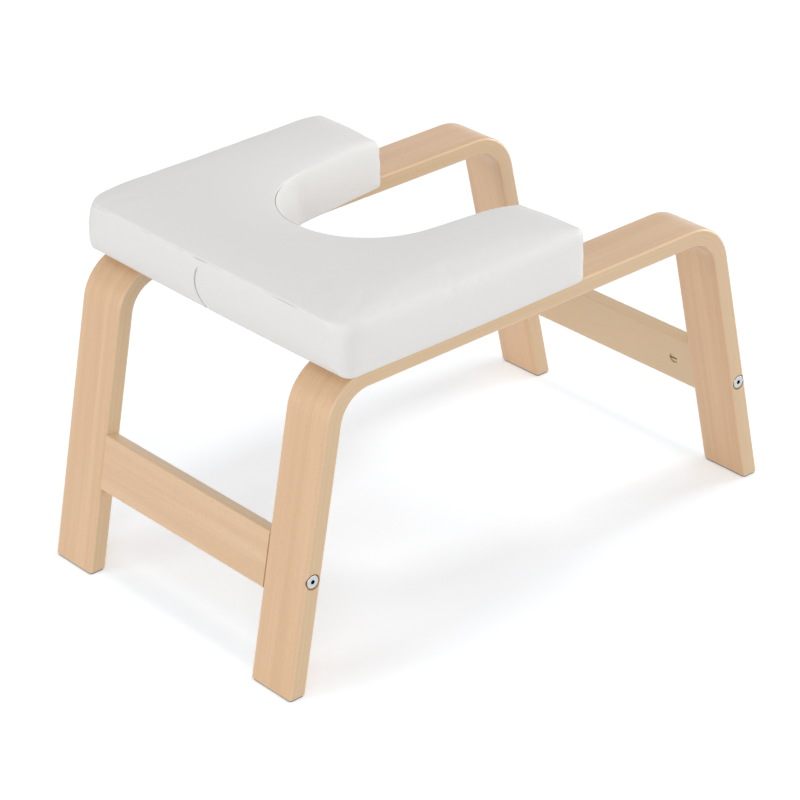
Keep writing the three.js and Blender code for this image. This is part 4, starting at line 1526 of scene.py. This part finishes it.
def fibre_cloth(name, light, dark, depth):
    material, tree, shader = new_finish(name, light, 0.95)
    fuzz = use(tree, fibre_group, object_place(tree))["Fuzz"]
    tone = blend_colours(tree, ease(tree, fuzz, 0.3, 0.7), dark, light)
    feed(tree, shader, {"Base Color": tone, "Sheen Weight": 0.2})
    bump(tree, shader, fuzz, depth, 0.7)
    return material


felt = fibre_cloth("grey_felt", colour(160, 157, 149), colour(138, 135, 128), 0.3 * MM)
lining = fibre_cloth("dark_lining_cloth", colour(64, 64, 67), colour(48, 48, 51), 0.1 * MM)
give(cloth, lining)
print("fibre finishes:", felt.name, "and", lining.name)

# %% Finishes for the small parts
for label in CORNERS:
    for part in ("frame_bolt", "pad_bolt", "pad_washer"):
        give(bpy.data.objects[f"{label}_{part}"], zinc)
    give(bpy.data.objects[f"{label}_cross_nut"], shaded_nut_zinc)
    give(bpy.data.objects[f"{label}_felt_pad"], felt)
    give(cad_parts[f"{label}_tee_nut"], zinc)
    for height in ("upper", "lower"):
        give(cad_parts[f"{label}_{height}_dowel"], dowel_beech)
give(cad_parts["seat_board"], board_beech)
print("finishes:", sorted(m.name for m in bpy.data.materials if m.users))

# %% [markdown]
# ## Floor and light
# The stool stands on a white floor in an evenly white room. Low lamps as big as walls stand far off
# round it, so the sides are a little lighter than the top, light reaches into the gap, and no corner
# turns dark. A small lamp overhead drops a soft shadow straight down. The floor gives off some light
# of its own, which only the camera and reflections see: that lifts it to white and leaves the
# shadow pale.


# %% Floor
def seen_directly(tree):
    """1 for rays from the camera and for reflections, 0 for the light that bounces off matt things."""
    ray = tree.nodes.new("ShaderNodeLightPath").outputs
    mirrored = calc(tree, "MAXIMUM", ray["Is Camera Ray"], ray["Is Glossy Ray"])
    return calc(tree, "MAXIMUM", mirrored, ray["Is Transmission Ray"])


WHITE_LIGHT, NO_TONE = (1, 1, 1, 1), (0, 0, 0, 1)
FLOOR_TONE, NEAR_TONE = (0.88, 0.88, 0.88, 1), (0.90, 0.95, 1.0, 1)
NEAR_GLOW, FAR_GLOW = 0.295, 1.06
bpy.ops.mesh.primitive_plane_add(size=24)
floor = bpy.context.object
floor.name = "studio_floor"
floor_paint, tree, shader = new_finish("white_floor_paint", FLOOR_TONE, 0.9)
direct = seen_directly(tree)
from_middle = {0: object_place(tree)}
radius = add_node(tree, "ShaderNodeVectorMath", from_middle, operation="LENGTH").outputs["Value"]
far = ease(tree, radius, 0.55, 1.5)
tone = blend_colours(tree, direct, FLOOR_TONE, blend_colours(tree, far, NEAR_TONE, NO_TONE))
glow = calc(tree, "MULTIPLY", direct, calc(tree, "MULTIPLY_ADD", far, FAR_GLOW - NEAR_GLOW, NEAR_GLOW))
feed(tree, shader, {"Base Color": tone, "Specular IOR Level": 0})
feed(tree, shader, {"Emission Color": WHITE_LIGHT, "Emission Strength": glow})
give(floor, floor_paint)
print("floor laid:", [round(side, 1) for side in floor.dimensions])

# %% Room
ROOM_LIGHT = 0.476
world = bpy.data.worlds.new("studio_room")
bpy.context.scene.world = world
world.use_nodes = True
tree = world.node_tree
room = calc(tree, "MULTIPLY_ADD", seen_directly(tree), 1 - ROOM_LIGHT, ROOM_LIGHT)
feed(tree, tree.nodes["Background"], {"Color": WHITE_LIGHT, "Strength": room})
print("the room lights the stool at", ROOM_LIGHT)

# %% Lamps
# Each lamp's azimuth, elevation, distance, size, and how brightly it lights a white face turned to it.
LAMPS = {
    "left_wall": (-110, 15, 8, 3.6, 0.26),
    "near_wall": (-44, 18, 8, 3.4, 0.25),
    "front_wall": (30, 10, 8, 3.2, 0.12),
    "right_wall": (75, 12, 8, 3.2, 0.38),
    "overhead": (0, 88, 2.6, 0.5, 0.175),
}
SEAT_MIDDLE = Vector((0, 0, 0.25))
for name, (azimuth, elevation, distance, size, level) in LAMPS.items():
    a, e = math.radians(azimuth), math.radians(elevation)
    way = Vector((math.sin(a) * math.cos(e), -math.cos(a) * math.cos(e), math.sin(e)))
    bpy.ops.object.light_add(type="AREA", location=SEAT_MIDDLE + way * distance)
    lamp = bpy.context.object
    lamp.name = name
    lamp.data.shape = "SQUARE"
    lamp.data.size = size
    lamp.data.energy = level * math.pi**2 * distance**2
    lamp.rotation_euler = way.to_track_quat("Z", "Y").to_euler()
    print(name, "at", [round(c, 2) for c in lamp.location])
bpy.context.scene.view_settings.view_transform = "Standard"
